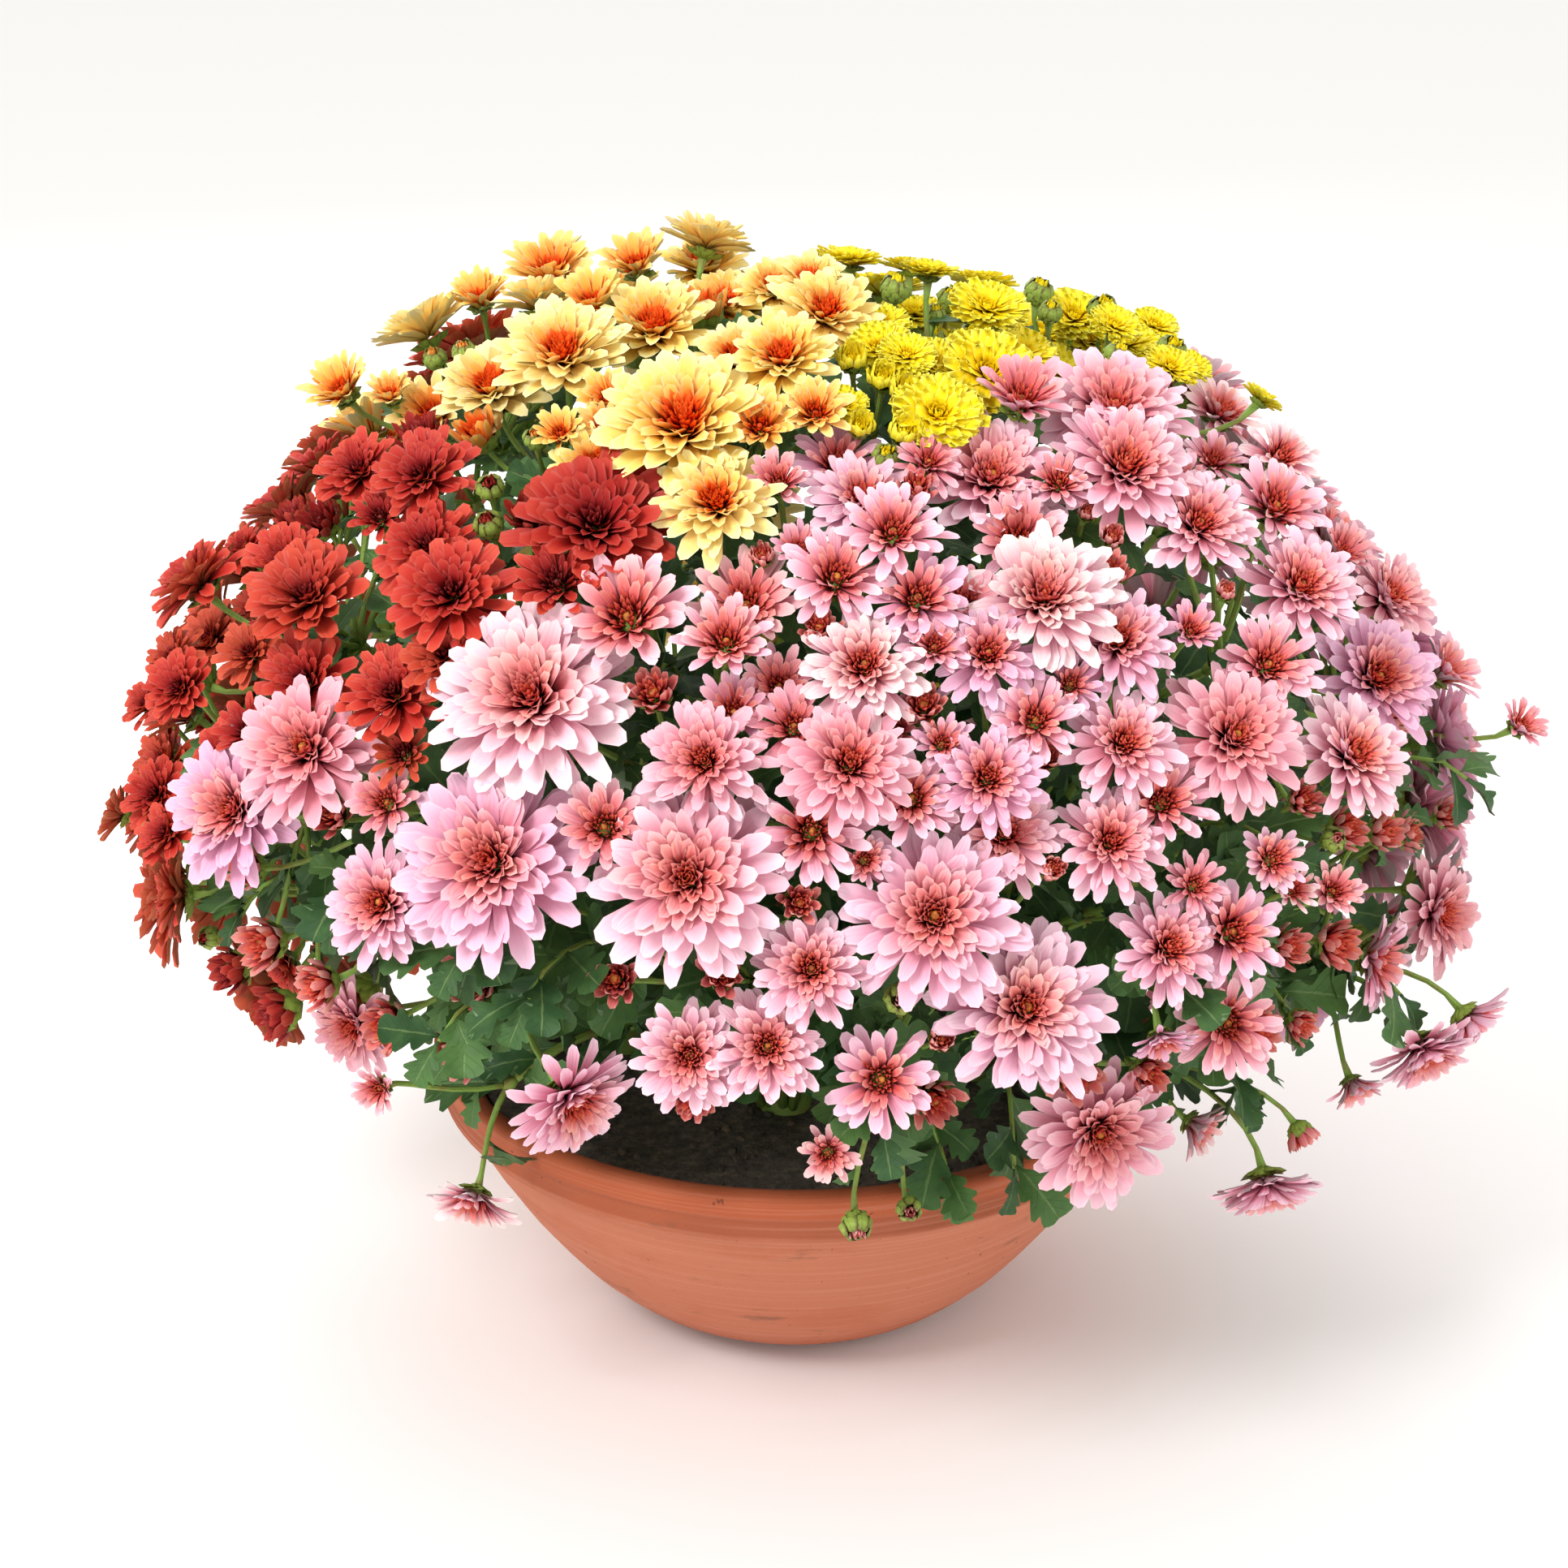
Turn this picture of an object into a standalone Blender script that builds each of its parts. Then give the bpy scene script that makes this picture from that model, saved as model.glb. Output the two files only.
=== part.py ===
"""Pot chrysanthemum: a terracotta bowl planted with apricot, yellow, red and pink garden mums.

Metres, +Z up. The origin is the middle of the bowl's flat underside, and the picture looks
along +Y, a little down. Each spray of flowers is one solid on its own fork, and each plant's
crown, stems and leaves are one solid that stands in a hole in the soil.
"""
import math
import random

import bmesh
import bpy
from mathutils import Matrix, Vector
from mathutils.bvhtree import BVHTree

# Bowl, thrown in terracotta: a wide collar over a body that curves in to a small foot
RIM_TOP = 0.139
RIM_RADIUS = 0.175
COLLAR_HEIGHT = 0.0245
COLLAR_FOOT_RADIUS = 0.172
BODY_TOP_RADIUS = 0.168
FOOT_RADIUS = 0.062
BODY_CURVE = 0.55
FLOOR = 0.011
BOWL_SIDES = 32
BODY_RINGS = 4
INSIDE_HEIGHTS = (0.116, 0.060, 0.024)

# Soil, which fills the bowl, and the holes that the four kinds of plant stand in
SOIL_TOP = 0.122
SOIL_GAP = 0.0005
CROWN_RADIUS = 0.015
CROWN_SIDES = 8
CROWN_DEPTH = 0.026
CROWN_STANDS = 0.010
HOLE_CLEARANCE = 0.0008
CROWNS = {
    "apricot": (-0.040, 0.075),
    "yellow": (0.060, 0.070),
    "red": (-0.085, 0.005),
    "pink_front": (-0.005, -0.060),
    "pink_right": (0.085, -0.020),
}

# The mound that the flowers make, an egg that is flatter below
MOUND_CENTRE = Vector((0.0, 0.0, 0.250))
MOUND_HALF_X = 0.315
MOUND_HALF_Y = 0.250
MOUND_UP = 0.262
MOUND_DOWN = 0.185
BOWL_CLEAR_RADIUS = 0.212
BOWL_CLEAR_HEIGHT = 0.150
GRAZING_MILLIMETRES = 270
GRAZING_SHARE = 0.62

# Where the picture was taken from, found from the bowl's rim, in a frame 1932 pixels wide
PICTURE_MIDDLE = 966.0
FOCAL_PIXELS = 3663.0
EYE_TILT = math.radians(22.21)
EYE_DISTANCE = 1.4
EYE_AIM = Vector((-0.0055, 0.0, 0.261))
FORWARD = Vector((0.0, math.cos(EYE_TILT), -math.sin(EYE_TILT)))
UPWARD = Vector((0.0, math.sin(EYE_TILT), math.cos(EYE_TILT)))
EYE = EYE_AIM - EYE_DISTANCE * FORWARD

# Flower heads: picture x and y of the middle, width in millimetres, form, and for a few the
# way that they face. Forms: f full, y young with a dark heart, h half open, b bud
APRICOT_HEADS = [
    (424, 485, 32, "y"), (483, 490, 22, "y"), (535, 513, 33, "y"), (484, 545, 22, "y"),
    (608, 487, 49, "f"), (695, 447, 53, "f"), (525, 411, 44, "f", (-0.55, 0.35, 0.75)),
    (593, 372, 28, "y"), (663, 376, 37, "f", (-0.1, 0.25, 0.95)), (680, 339, 39, "y"),
    (731, 377, 30, "y"), (692, 537, 22, "y"), (734, 580, 36, "f"), (751, 495, 25, "y"),
    (746, 529, 22, "y"), (786, 331, 32, "y"), (870, 302, 38, "f", (0.25, 0.6, 0.75)),
    (865, 335, 37, "f"), (806, 413, 50, "f"), (891, 381, 38, "f"), (955, 362, 33, "f"),
    (998, 352, 32, "f"), (1017, 393, 42, "f"), (908, 448, 36, "f"), (965, 449, 42, "f"),
    (845, 532, 62, "f"), (937, 529, 29, "y"), (1005, 512, 28, "y"), (884, 626, 44, "f"),
    (865, 471, 12, "b"), (535, 441, 11, "b"), (571, 432, 10, "b"), (599, 438, 9, "b"),
    (640, 425, 10, "b"), (660, 540, 10, "b"),
]
YELLOW_HEADS = [
    (1126, 389, 29, "f"), (1086, 403, 22, "f"), (1084, 432, 25, "f"), (1117, 440, 22, "f"),
    (1050, 444, 15, "h"), (1088, 467, 15, "h"), (1114, 482, 14, "h"), (1148, 450, 23, "f"),
    (1166, 430, 24, "f"), (1150, 480, 11, "h"), (1216, 383, 31, "f"), (1216, 462, 38, "f"),
    (1259, 438, 26, "f"), (1282, 414, 34, "f"), (1300, 462, 30, "f"), (1155, 514, 34, "f"),
    (1115, 534, 16, "h"), (1060, 526, 13, "h"), (1041, 500, 17, "f"), (1323, 394, 31, "f"),
    (1338, 420, 24, "f"), (1372, 403, 22, "f"), (1390, 425, 26, "f"), (1422, 403, 20, "f"),
    (1403, 445, 28, "f"), (1442, 455, 22, "f"), (1467, 452, 18, "f"), (1350, 455, 22, "f"),
    (1553, 493, 18, "f", (0.6, 0.3, 0.7)),
    (1171, 369, 11, "b"), (1152, 387, 9, "b"), (1150, 417, 11, "b"), (1196, 418, 13, "b"),
    (1204, 391, 12, "b"), (1252, 403, 12, "b"), (1280, 359, 12, "b"), (1294, 384, 10, "b"),
    (1316, 371, 11, "b"), (1360, 381, 13, "b"), (1443, 430, 12, "b"), (1375, 441, 13, "b"),
    (1091, 561, 10, "b"),
]
RED_HEADS = [
    (445, 585, 33, "f"), (525, 592, 38, "f"), (398, 644, 21, "h"), (355, 698, 32, "f"),
    (304, 680, 24, "f"), (246, 722, 42, "f", (-0.6, -0.1, 0.75)), (383, 742, 45, "f"),
    (319, 752, 22, "y"), (533, 680, 40, "f"), (560, 738, 45, "f"), (735, 655, 58, "f"),
    (655, 640, 22, "h"), (688, 722, 32, "y"), (263, 792, 32, "f"), (218, 812, 26, "f"),
    (312, 808, 28, "f"), (381, 843, 37, "f"), (226, 850, 30, "f"), (184, 869, 22, "f"),
    (490, 860, 38, "f"), (552, 812, 31, "f"), (309, 902, 25, "y"), (266, 892, 18, "y"),
    (208, 940, 32, "f"), (197, 982, 30, "f"), (150, 1004, 24, "f", (-0.85, 0.1, 0.35)),
    (210, 1028, 26, "f"), (222, 1104, 34, "f", (-0.9, -0.2, 0.1)), (285, 935, 30, "f"),
    (355, 1185, 26, "f", (-0.5, -0.5, -0.2)), (500, 930, 24, "y"), (470, 640, 22, "y"),
    (415, 573, 10, "b"), (604, 600, 11, "b"), (602, 646, 12, "b"), (276, 1106, 11, "b"),
    (258, 1155, 10, "b"),
]
PINK_HEADS = [
    (383, 928, 58, "f"), (296, 1000, 58, "f"), (409, 1004, 20, "h"), (478, 990, 28, "y"),
    (475, 1115, 46, "f"), (440, 1260, 42, "f"), (470, 1340, 22, "y"),
    (660, 865, 73, "f"), (612, 1065, 73, "f"), (745, 1020, 36, "y"), (850, 1085, 71, "f"),
    (870, 940, 45, "f"), (775, 765, 48, "y"), (895, 795, 36, "y"), (920, 750, 42, "y"),
    (805, 855, 22, "h"), (905, 880, 31, "y"), (1045, 945, 49, "f"), (1000, 1025, 41, "f"),
    (1065, 825, 47, "f"), (1065, 1060, 20, "y"), (1030, 715, 39, "f"), (1100, 660, 38, "f"),
    (1218, 597, 56, "f"), (1255, 670, 38, "y"), (1285, 745, 58, "f"), (1215, 810, 42, "f"),
    (1375, 795, 44, "f"), (1383, 583, 55, "f"), (1370, 515, 60, "f"), (1257, 497, 38, "y"),
    (1473, 652, 45, "f"), (1032, 575, 35, "f"), (1061, 620, 42, "f"), (960, 597, 25, "y"),
    (1304, 598, 26, "y"), (1502, 512, 38, "f"), (1575, 566, 32, "f"), (1569, 628, 40, "f"),
    (1597, 728, 48, "f"), (1494, 571, 28, "f"), (1451, 603, 30, "f"), (1615, 625, 26, "y"),
    (1650, 684, 28, "y"), (1705, 740, 44, "f"), (1690, 840, 54, "f"), (1775, 830, 33, "y"),
    (1515, 912, 57, "f"), (1660, 935, 50, "f"), (1380, 920, 43, "f"), (1275, 890, 33, "f"),
    (1235, 1030, 44, "f"), (1365, 1040, 42, "f"), (1430, 990, 36, "f"), (1150, 1130, 64, "f"),
    (1260, 1245, 65, "f"), (1435, 1170, 43, "f"), (1515, 1150, 39, "f"), (1565, 1060, 27, "y"),
    (1640, 1100, 25, "y"), (1605, 985, 18, "h"), (1765, 1125, 46, "f"),
    (1690, 1180, 40, "f", (0.75, -0.6, 0.0)), (1752, 1290, 43, "f", (0.35, -0.7, -0.55)),
    (1807, 1253, 34, "f", (0.6, -0.3, -0.7)), (1510, 1260, 39, "f"),
    (1350, 1390, 58, "f", (0.15, -0.95, 0.15)), (1470, 1385, 28, "y", (0.7, -0.5, -0.3)),
    (1559, 1456, 43, "f", (0.15, -0.6, -0.75)), (1604, 1397, 18, "h", (0.5, -0.4, -0.7)),
    (1666, 1335, 24, "y", (0.35, -0.6, -0.6)), (1870, 895, 24, "y"), (1780, 1005, 17, "h"),
    (1000, 1195, 42, "f"), (945, 1290, 42, "f"), (850, 1300, 42, "f"), (1085, 1330, 39, "f"),
    (1020, 1420, 24, "y"), (700, 1350, 48, "f", (0.5, -0.7, -0.25)),
    (585, 1475, 35, "f", (-0.2, -0.6, -0.5)), (890, 1200, 20, "h"), (1143, 572, 26, "f"),
    (1130, 600, 18, "h"), (1371, 662, 14, "h"), (1510, 729, 12, "h"), (1368, 705, 18, "h"),
    (1339, 632, 11, "h"), (1160, 1280, 15, "h"), (1152, 713, 13, "h"), (1130, 740, 38, "f"),
    (1188, 745, 28, "f"), (1465, 780, 24, "y"), (1138, 870, 19, "h"), (1288, 932, 16, "h"),
    (1160, 918, 23, "y"), (1318, 845, 24, "f"), (1215, 962, 42, "f"), (1560, 822, 38, "f"),
    (939, 685, 14, "h"), (985, 680, 22, "y"), (1010, 775, 18, "h"), (960, 848, 30, "y"),
    (1150, 800, 26, "f"), (1100, 900, 28, "f"), (978, 898, 32, "f"), (1122, 985, 34, "f"),
    (1296, 1070, 15, "h"), (984, 1112, 18, "h"), (1590, 1097, 20, "y"), (1470, 1092, 24, "f"),
    (1430, 1278, 24, "f", (0.2, -0.6, -0.5)), (1643, 1034, 11, "b"), (1110, 1230, 13, "b"),
    (1055, 1510, 14, "b", (0.1, -0.7, -0.3)), (1120, 1490, 11, "b", (0.1, -0.7, 0.1)),
]
SEEN_HEADS = {
    "apricot": APRICOT_HEADS,
    "yellow": YELLOW_HEADS,
    "red": RED_HEADS,
    "pink": PINK_HEADS,
}

# The far side isn't in the picture: even rows of heads, coloured by the plant that is nearest
BACK_HEADS = 90
BACK_SPACING_ANGLE = math.pi * (3.0 - math.sqrt(5.0))
BACK_COVER = 0.86
BACK_LOWEST = -0.74
BACK_EDGE = -0.03
BACK_YOUNG_SHARE = 0.25
BACK_PINK_BELOW = 0.20
BACK_PINK_LOW_FROM = -0.12
BACK_PINK_HIGH_FROM = 0.17
BACK_RED_TO = -0.15
BACK_SET_IN = 0.95
BACK_TURNED = -0.12
BACK_CLEAR_SHARE = 0.66
BACK_WIDTHS = {"apricot": (0.046, 0.062), "yellow": (0.036, 0.050), "red": (0.042, 0.056), "pink": (0.052, 0.074)}

# How heads lean: away from the mound, up, and toward the light in front
LEAN_OUT = 0.60
LEAN_UP = 0.34
LEAN_FRONT = {"apricot": 0.55, "yellow": 0.50, "red": 0.42, "pink": 0.42}
LEAN_SCATTER = 0.13
# The least that a seen head turns its face to the viewer
SHOWN_LEAST = 0.34

# How heads are pushed apart, as shares of their radii, and how far each may go
PUSH_SHARE = 0.67
PUSH_ROUNDS = 70
PUSH_LIMIT = 0.040
PUSH_NEARER = 0.15
PUSH_FARTHER = 0.35
PUSH_TIE = -0.002
MILLIMETRE = 0.001
SIGHT_MILLIMETRES = range(950, 1750)

# Heads as fractions of their radius: petal tip rise, dip radius and rise, inner ring radius
# and rise, heart rise, and how far behind the middle the stalk joins
FORMS = {
    "f": (0.12, 0.78, -0.06, 0.62, 0.38, 0.22, 0.30),
    "y": (0.40, 0.72, 0.14, 0.54, 0.52, 0.28, 0.28),
    "h": (1.00, 0.78, 0.50, 0.62, 0.92, 0.74, 0.50),
    "b": (0.00, 1.00, 0.00, 0.00, 0.00, 0.95, 0.75),
}
PETALS_BY_WIDTH = ((0.056, 8), (0.047, 7), (0.040, 6), (0.0, 5))
BACK_PETALS = 6
BACK_FEWER_FROM = 0.05
ONE_LAYER_BELOW = 0.033
BUD_SIDES = 4

# Sprays: how many of each colour, and the fork that carries each
SPRAYS = {"apricot": 9, "yellow": 8, "red": 9, "pink_front": 13, "pink_right": 14}
SPRAY_MOST = 11
FEW_HEADS = 5
FORK_RADIUS = 0.0032
FORK_DEPTH = 0.046
FORK_NUDGE = 0.006
FORK_NUDGES = ((0, 0, 0), (0, 0, 1), (0, 0, -1), (1, 0, 0), (-1, 0, 0), (0, 1, 0), (0, -1, 0), (1, 1, 1), (-1, -1, 1))
FORK_TO_CROWN = 0.55
FORK_BEHIND_FACES = 0.45
FORK_OVER_RIM = 0.022
FORK_UNDERSIDE = -0.6
STALK_RADIUS = 0.0015
BENT_STALK = math.radians(80.0)
BENT_STALK_BOW = 0.22
# Stalks are tested from this share of their length on, and a little thicker than they are
TESTED_FROM = 0.35
TESTED_THICKER = 1.3
HEAD_SMALLEST = 0.45
HEAD_STEP = 0.94
HEAD_TRIES = 24
HEAD_CLEARANCE = 0.0006

# Stems and leaves
STEM_RADIUS = 0.0024
STEM_TIP_RADIUS = 0.0019
STEM_PARTS = 3
STEM_SIDESTEPS = (0.0, 0.012, -0.012, 0.024, -0.024, 0.036, -0.036)
STEM_LIFTS = (0.0, 0.015, 0.030, -0.012)
STEM_GAP = 0.0004
STEM_OVER_RIM = 0.052
STEM_CLEARS_RIM_FROM = 0.09
STEM_AIM_HEIGHT = 0.05
STEM_START_HEIGHT = 0.004
STEM_LEAST_SPREAD = 0.15
STEM_RISE = 0.45
STEM_EARLY_SIDE = 0.15
STEM_LATE = 0.38
STEM_LATE_OUT = 0.6
STEM_LATE_SIDE = 0.4
LEAF_THICKNESS = 0.0016
LEAF_WIDTH_SHARE = 0.78
# Shares of a blade's length and width at its lobes and notches
LEAF_OUTLINE = ((0.30, 0.54), (0.46, 0.27), (0.70, 0.38))
LEAF_THICKEST = 0.45
LEAF_SAG = 0.18
LEAF_EDGE_DROOP = 0.06
LEAF_OVER_SOIL = 0.004
PETIOLE_SHARE = 0.25
PETIOLE_FOOT = 1.2
PETIOLE_RADIUS = 0.0012
LEAF_PLACES = (0.88, 0.62, 0.40)
LEAF_LENGTHS = (0.078, 0.062, 0.048, 0.036)
LEAF_TURNS = 12
LEAVES_A_PLANT = 9


def clear_scene():
    for old in list(bpy.data.objects):
        bpy.data.objects.remove(old, do_unlink=True)


def finish_material(name, colour, roughness):
    material = bpy.data.materials.new(name)
    material.use_nodes = True
    shader = material.node_tree.nodes["Principled BSDF"]
    shader.inputs["Base Color"].default_value = (*colour, 1.0)
    shader.inputs["Roughness"].default_value = roughness
    shader.inputs["Metallic"].default_value = 0.0
    return material


def object_from(bm, name, material):
    bmesh.ops.recalc_face_normals(bm, faces=bm.faces)
    mesh = bpy.data.meshes.new(name)
    bm.to_mesh(mesh)
    bm.free()
    mesh.materials.append(material)
    piece = bpy.data.objects.new(name, mesh)
    bpy.context.scene.collection.objects.link(piece)
    return piece


# The mound and the sight lines

def mound_half(offset):
    return Vector((MOUND_HALF_X, MOUND_HALF_Y, MOUND_UP if offset.z > 0 else MOUND_DOWN))


def mound_level(point):
    offset = point - MOUND_CENTRE
    half = mound_half(offset)
    return Vector([offset[k] / half[k] for k in range(3)]).length


def mound_outward(point):
    offset = point - MOUND_CENTRE
    half = mound_half(offset)
    return Vector([offset[k] / half[k] ** 2 for k in range(3)]).normalized()


def near_bowl(point):
    return point.z < BOWL_CLEAR_HEIGHT and math.hypot(point.x, point.y) < BOWL_CLEAR_RADIUS


def sight_line(px, py):
    across = (px - PICTURE_MIDDLE) / FOCAL_PIXELS
    up = (PICTURE_MIDDLE - py) / FOCAL_PIXELS
    return (FORWARD + Vector((across, 0.0, 0.0)) + up * UPWARD).normalized()


def point_on_mound(way, share):
    """Where a sight line meets the mound or the bowl's side, or a share of the way on where it only grazes it."""
    inside = []
    levels = []
    for millimetre in SIGHT_MILLIMETRES:
        point = EYE + MILLIMETRE * millimetre * way
        levels.append((mound_level(point), millimetre))
        if near_bowl(point) and not inside:
            return point
        if levels[-1][0] < 1.0:
            inside.append(point)
    if not inside:
        return EYE + MILLIMETRE * min(levels)[1] * way
    return inside[int(share * len(inside))] if len(inside) < GRAZING_MILLIMETRES else inside[0]


class Head:
    """One flower or bud: its plant, place, facing, radius and form."""

    def __init__(self, plant, centre, facing, radius, form, way, spin):
        self.plant = plant
        self.centre = centre
        self.facing = facing
        self.radius = radius
        self.form = form
        self.way = way
        self.spin = spin
        self.start = centre.copy()

    def foot(self):
        return self.centre - self.facing * (FORMS[self.form][6] * self.radius)

    def petals(self):
        if self.form == "b":
            return BUD_SIDES
        count = next(count for width, count in PETALS_BY_WIDTH if 2.0 * self.radius >= width)
        return min(count, BACK_PETALS) if self.start.y > BACK_FEWER_FROM else count


def scatter(rng, amount):
    return Vector([rng.uniform(-amount, amount) for _ in range(3)])


def seen_heads(rng):
    heads = []
    for plant, rows in SEEN_HEADS.items():
        for px, py, width, form, *given in rows:
            way = sight_line(px, py)
            centre = point_on_mound(way, rng.uniform(0.0, GRAZING_SHARE))
            lean = LEAN_OUT * mound_outward(centre) + Vector((0.0, 0.0, LEAN_UP)) - LEAN_FRONT[plant] * FORWARD
            facing = Vector(given[0]) if given else (lean + scatter(rng, LEAN_SCATTER)).normalized()
            if not given:
                facing -= max(0.0, SHOWN_LEAST + facing.dot(way)) * way
            spin = rng.uniform(0.0, math.tau)
            heads.append(Head(plant, centre, facing.normalized(), width / 2000.0, form, way, spin))
    return heads


def back_plant(point):
    """The colour of the plant that a place on the far side belongs to."""
    if point.z < BACK_PINK_BELOW and point.x > BACK_PINK_LOW_FROM:
        return "pink"
    if point.x < BACK_RED_TO:
        return "red"
    if point.x > BACK_PINK_HIGH_FROM:
        return "pink"
    return "apricot" if point.x < 0.0 else "yellow"


def back_heads(rng):
    """Heads of the far side, on a spiral round the mound, where no seen head is."""
    heads = []
    for number in range(2 * BACK_HEADS):
        height = 1.0 - (number + 0.5) / BACK_HEADS * BACK_COVER
        if height < BACK_LOWEST:
            continue
        turn = number * BACK_SPACING_ANGLE
        flat = math.sqrt(max(0.0, 1.0 - height * height))
        rise = MOUND_UP if height > 0 else MOUND_DOWN
        offset = Vector((MOUND_HALF_X * flat * math.cos(turn), MOUND_HALF_Y * flat * math.sin(turn), rise * height))
        centre = MOUND_CENTRE + BACK_SET_IN * offset
        width_rng = rng.random()
        jitter = scatter(rng, LEAN_SCATTER)
        spin = rng.uniform(0.0, math.tau)
        hidden = mound_outward(centre).dot(FORWARD) > BACK_TURNED
        if not hidden or centre.y < BACK_EDGE or near_bowl(centre):
            continue
        plant = back_plant(centre)
        small, large = BACK_WIDTHS[plant]
        radius = 0.5 * (small + (large - small) * width_rng)
        outward = mound_outward(centre)
        facing = (outward + Vector((0.0, 0.0, LEAN_UP)) + jitter).normalized()
        form = "y" if width_rng < BACK_YOUNG_SHARE else "f"
        heads.append(Head(plant, centre, facing, radius, form, -outward, spin))
    return heads


def push_apart(heads):
    """Moves touching heads apart along their sight lines, the farther one away."""
    count = len(heads)
    for _ in range(PUSH_ROUNDS):
        for i in range(count):
            for j in range(i + 1, count):
                one, two = heads[i], heads[j]
                apart = two.centre - one.centre
                need = PUSH_SHARE * (one.radius + two.radius)
                if apart.length_squared > need * need:
                    continue
                short = need - apart.length
                near, far = (one, two) if apart.dot(one.way + two.way) > PUSH_TIE else (two, one)
                near.centre = near.centre - near.way * (PUSH_NEARER * short)
                far.centre = far.centre + far.way * (PUSH_FARTHER * short)
        for head in heads:
            gone = head.centre - head.start
            if gone.length > PUSH_LIMIT:
                head.centre = head.start + gone.normalized() * PUSH_LIMIT
            while near_bowl(head.centre):
                head.centre = head.centre - head.way * MILLIMETRE


def all_heads():
    rng = random.Random(4)
    heads = seen_heads(rng)
    for head in back_heads(rng):
        spaces = [(head.centre - other.centre).length / (head.radius + other.radius) for other in heads]
        if min(spaces) > BACK_CLEAR_SHARE:
            heads.append(head)
    push_apart(heads)
    return heads


def spans_of(heads):
    feet = [head.foot() for head in heads]
    return [max(foot[k] for foot in feet) - min(foot[k] for foot in feet) for k in range(3)]


def group_heads(heads, count):
    """Parts a plant's heads into close groups: the widest, or one too full, is cut across its longest way."""
    groups = [heads]
    while len(groups) < count:
        groups.sort(key=lambda group: (len(group) > SPRAY_MOST, max(spans_of(group))))
        widest = groups.pop()
        spans = spans_of(widest)
        longest = spans.index(max(spans))
        middle = sum(head.foot()[longest] for head in widest) / len(widest)
        groups.append([head for head in widest if head.foot()[longest] < middle])
        groups.append([head for head in widest if head.foot()[longest] >= middle])
    return groups


class Spray:
    """A fork and the heads that it carries, with the stem's way into it."""

    def __init__(self, name, plant, heads):
        self.name = name
        self.plant = plant
        self.heads = heads
        feet = sum((head.foot() for head in heads), Vector()) / len(heads)
        facing = sum((head.facing for head in heads), Vector()).normalized()
        crown = Vector((*CROWNS[plant], SOIL_TOP + STEM_AIM_HEIGHT))
        inward = (FORK_TO_CROWN * (crown - feet).normalized() - FORK_BEHIND_FACES * facing).normalized()
        self.fork = feet + FORK_DEPTH * inward
        if math.hypot(self.fork.x, self.fork.y) < BOWL_CLEAR_RADIUS:
            self.fork.z = max(self.fork.z, RIM_TOP + FORK_OVER_RIM)
        self.root = crown
        self.bends = self.stem_bends(feet)
        self.way = (self.fork - self.bends[2]).normalized()

    def stem_bends(self, feet):
        """Control points of the stem's curve, which clears the bowl's rim."""
        start = Vector((self.root.x, self.root.y, SOIL_TOP + STEM_START_HEIGHT))
        side = self.fork - start
        side.z = 0.0
        leaning = side.length / (side.length + self.fork.z - start.z)
        spread = STEM_LEAST_SPREAD + (1.0 - STEM_LEAST_SPREAD) * leaning
        start = start + side.normalized() * (spread * CROWN_RADIUS)
        length = (self.fork - start).length
        outward = (feet - self.fork).normalized()
        rise = Vector((0.0, 0.0, STEM_RISE * length))
        late = self.fork - (STEM_LATE_OUT * outward + STEM_LATE_SIDE * side.normalized()) * (STEM_LATE * length)
        if side.length > STEM_CLEARS_RIM_FROM:
            late.z = max(late.z, RIM_TOP + STEM_OVER_RIM)
        return [start, start + rise + STEM_EARLY_SIDE * side, late]

    def stem_points(self, sidestep=0.0, lift=0.0):
        """Points down the stem, whose middle can be moved sideways and up to clear what it would meet."""
        start, early, late = self.bends
        end = self.fork - self.way * (FORK_RADIUS + STEM_GAP)
        across = (end - start).cross(Vector((0.0, 0.0, 1.0))).normalized()
        early = early + 2.0 * (sidestep * across + Vector((0.0, 0.0, lift)))
        points = []
        for k in range(STEM_PARTS + 1):
            t = k / STEM_PARTS
            s = 1.0 - t
            points.append(s ** 3 * start + 3 * s * s * t * early + 3 * s * t * t * late + t ** 3 * end)
        return points


def plant_of(head):
    """The plant that bears a head: there are two pink ones, and the nearer crown has it."""
    if head.plant != "pink":
        return head.plant
    near, far = [(head.centre.xy - Vector(CROWNS[name])).length for name in ("pink_front", "pink_right")]
    return "pink_front" if near < far else "pink_right"


def make_sprays(heads):
    """Groups each plant's heads into sprays, numbered from left to right."""
    sprays = []
    for plant, count in SPRAYS.items():
        groups = group_heads([head for head in heads if plant_of(head) == plant], count)
        groups.sort(key=lambda group: sum(head.centre.x for head in group) / len(group))
        for number, group in enumerate(groups, 1):
            sprays.append(Spray(f"{plant}_spray_{number:02d}", plant, group))
    return sprays


# Flower heads and sprays as meshes

def turned(arms, old_way, new_way):
    turn = old_way.rotation_difference(new_way)
    return [turn @ arm for arm in arms]


def stitch(bm, low, high, centre, axis):
    """Closes the band between two rings, taking their points by angle round the axis."""
    side = axis.orthogonal().normalized()
    up = axis.cross(side)

    def angle(vert):
        offset = vert.co - centre
        return math.atan2(offset.dot(up), offset.dot(side))

    low = sorted(low, key=angle)
    high = sorted(high, key=angle)
    low_turns = [angle(v) for v in low] + [angle(low[0]) + math.tau]
    high_turns = [angle(v) for v in high] + [angle(high[0]) + math.tau]
    i = 0
    j = 0
    while i < len(low) or j < len(high):
        here = low[i % len(low)]
        there = high[j % len(high)]
        if j == len(high) or (i < len(low) and low_turns[i + 1] < high_turns[j + 1]):
            bm.faces.new((here, low[(i + 1) % len(low)], there))
            i += 1
        else:
            bm.faces.new((here, there, high[(j + 1) % len(high)]))
            j += 1


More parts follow.
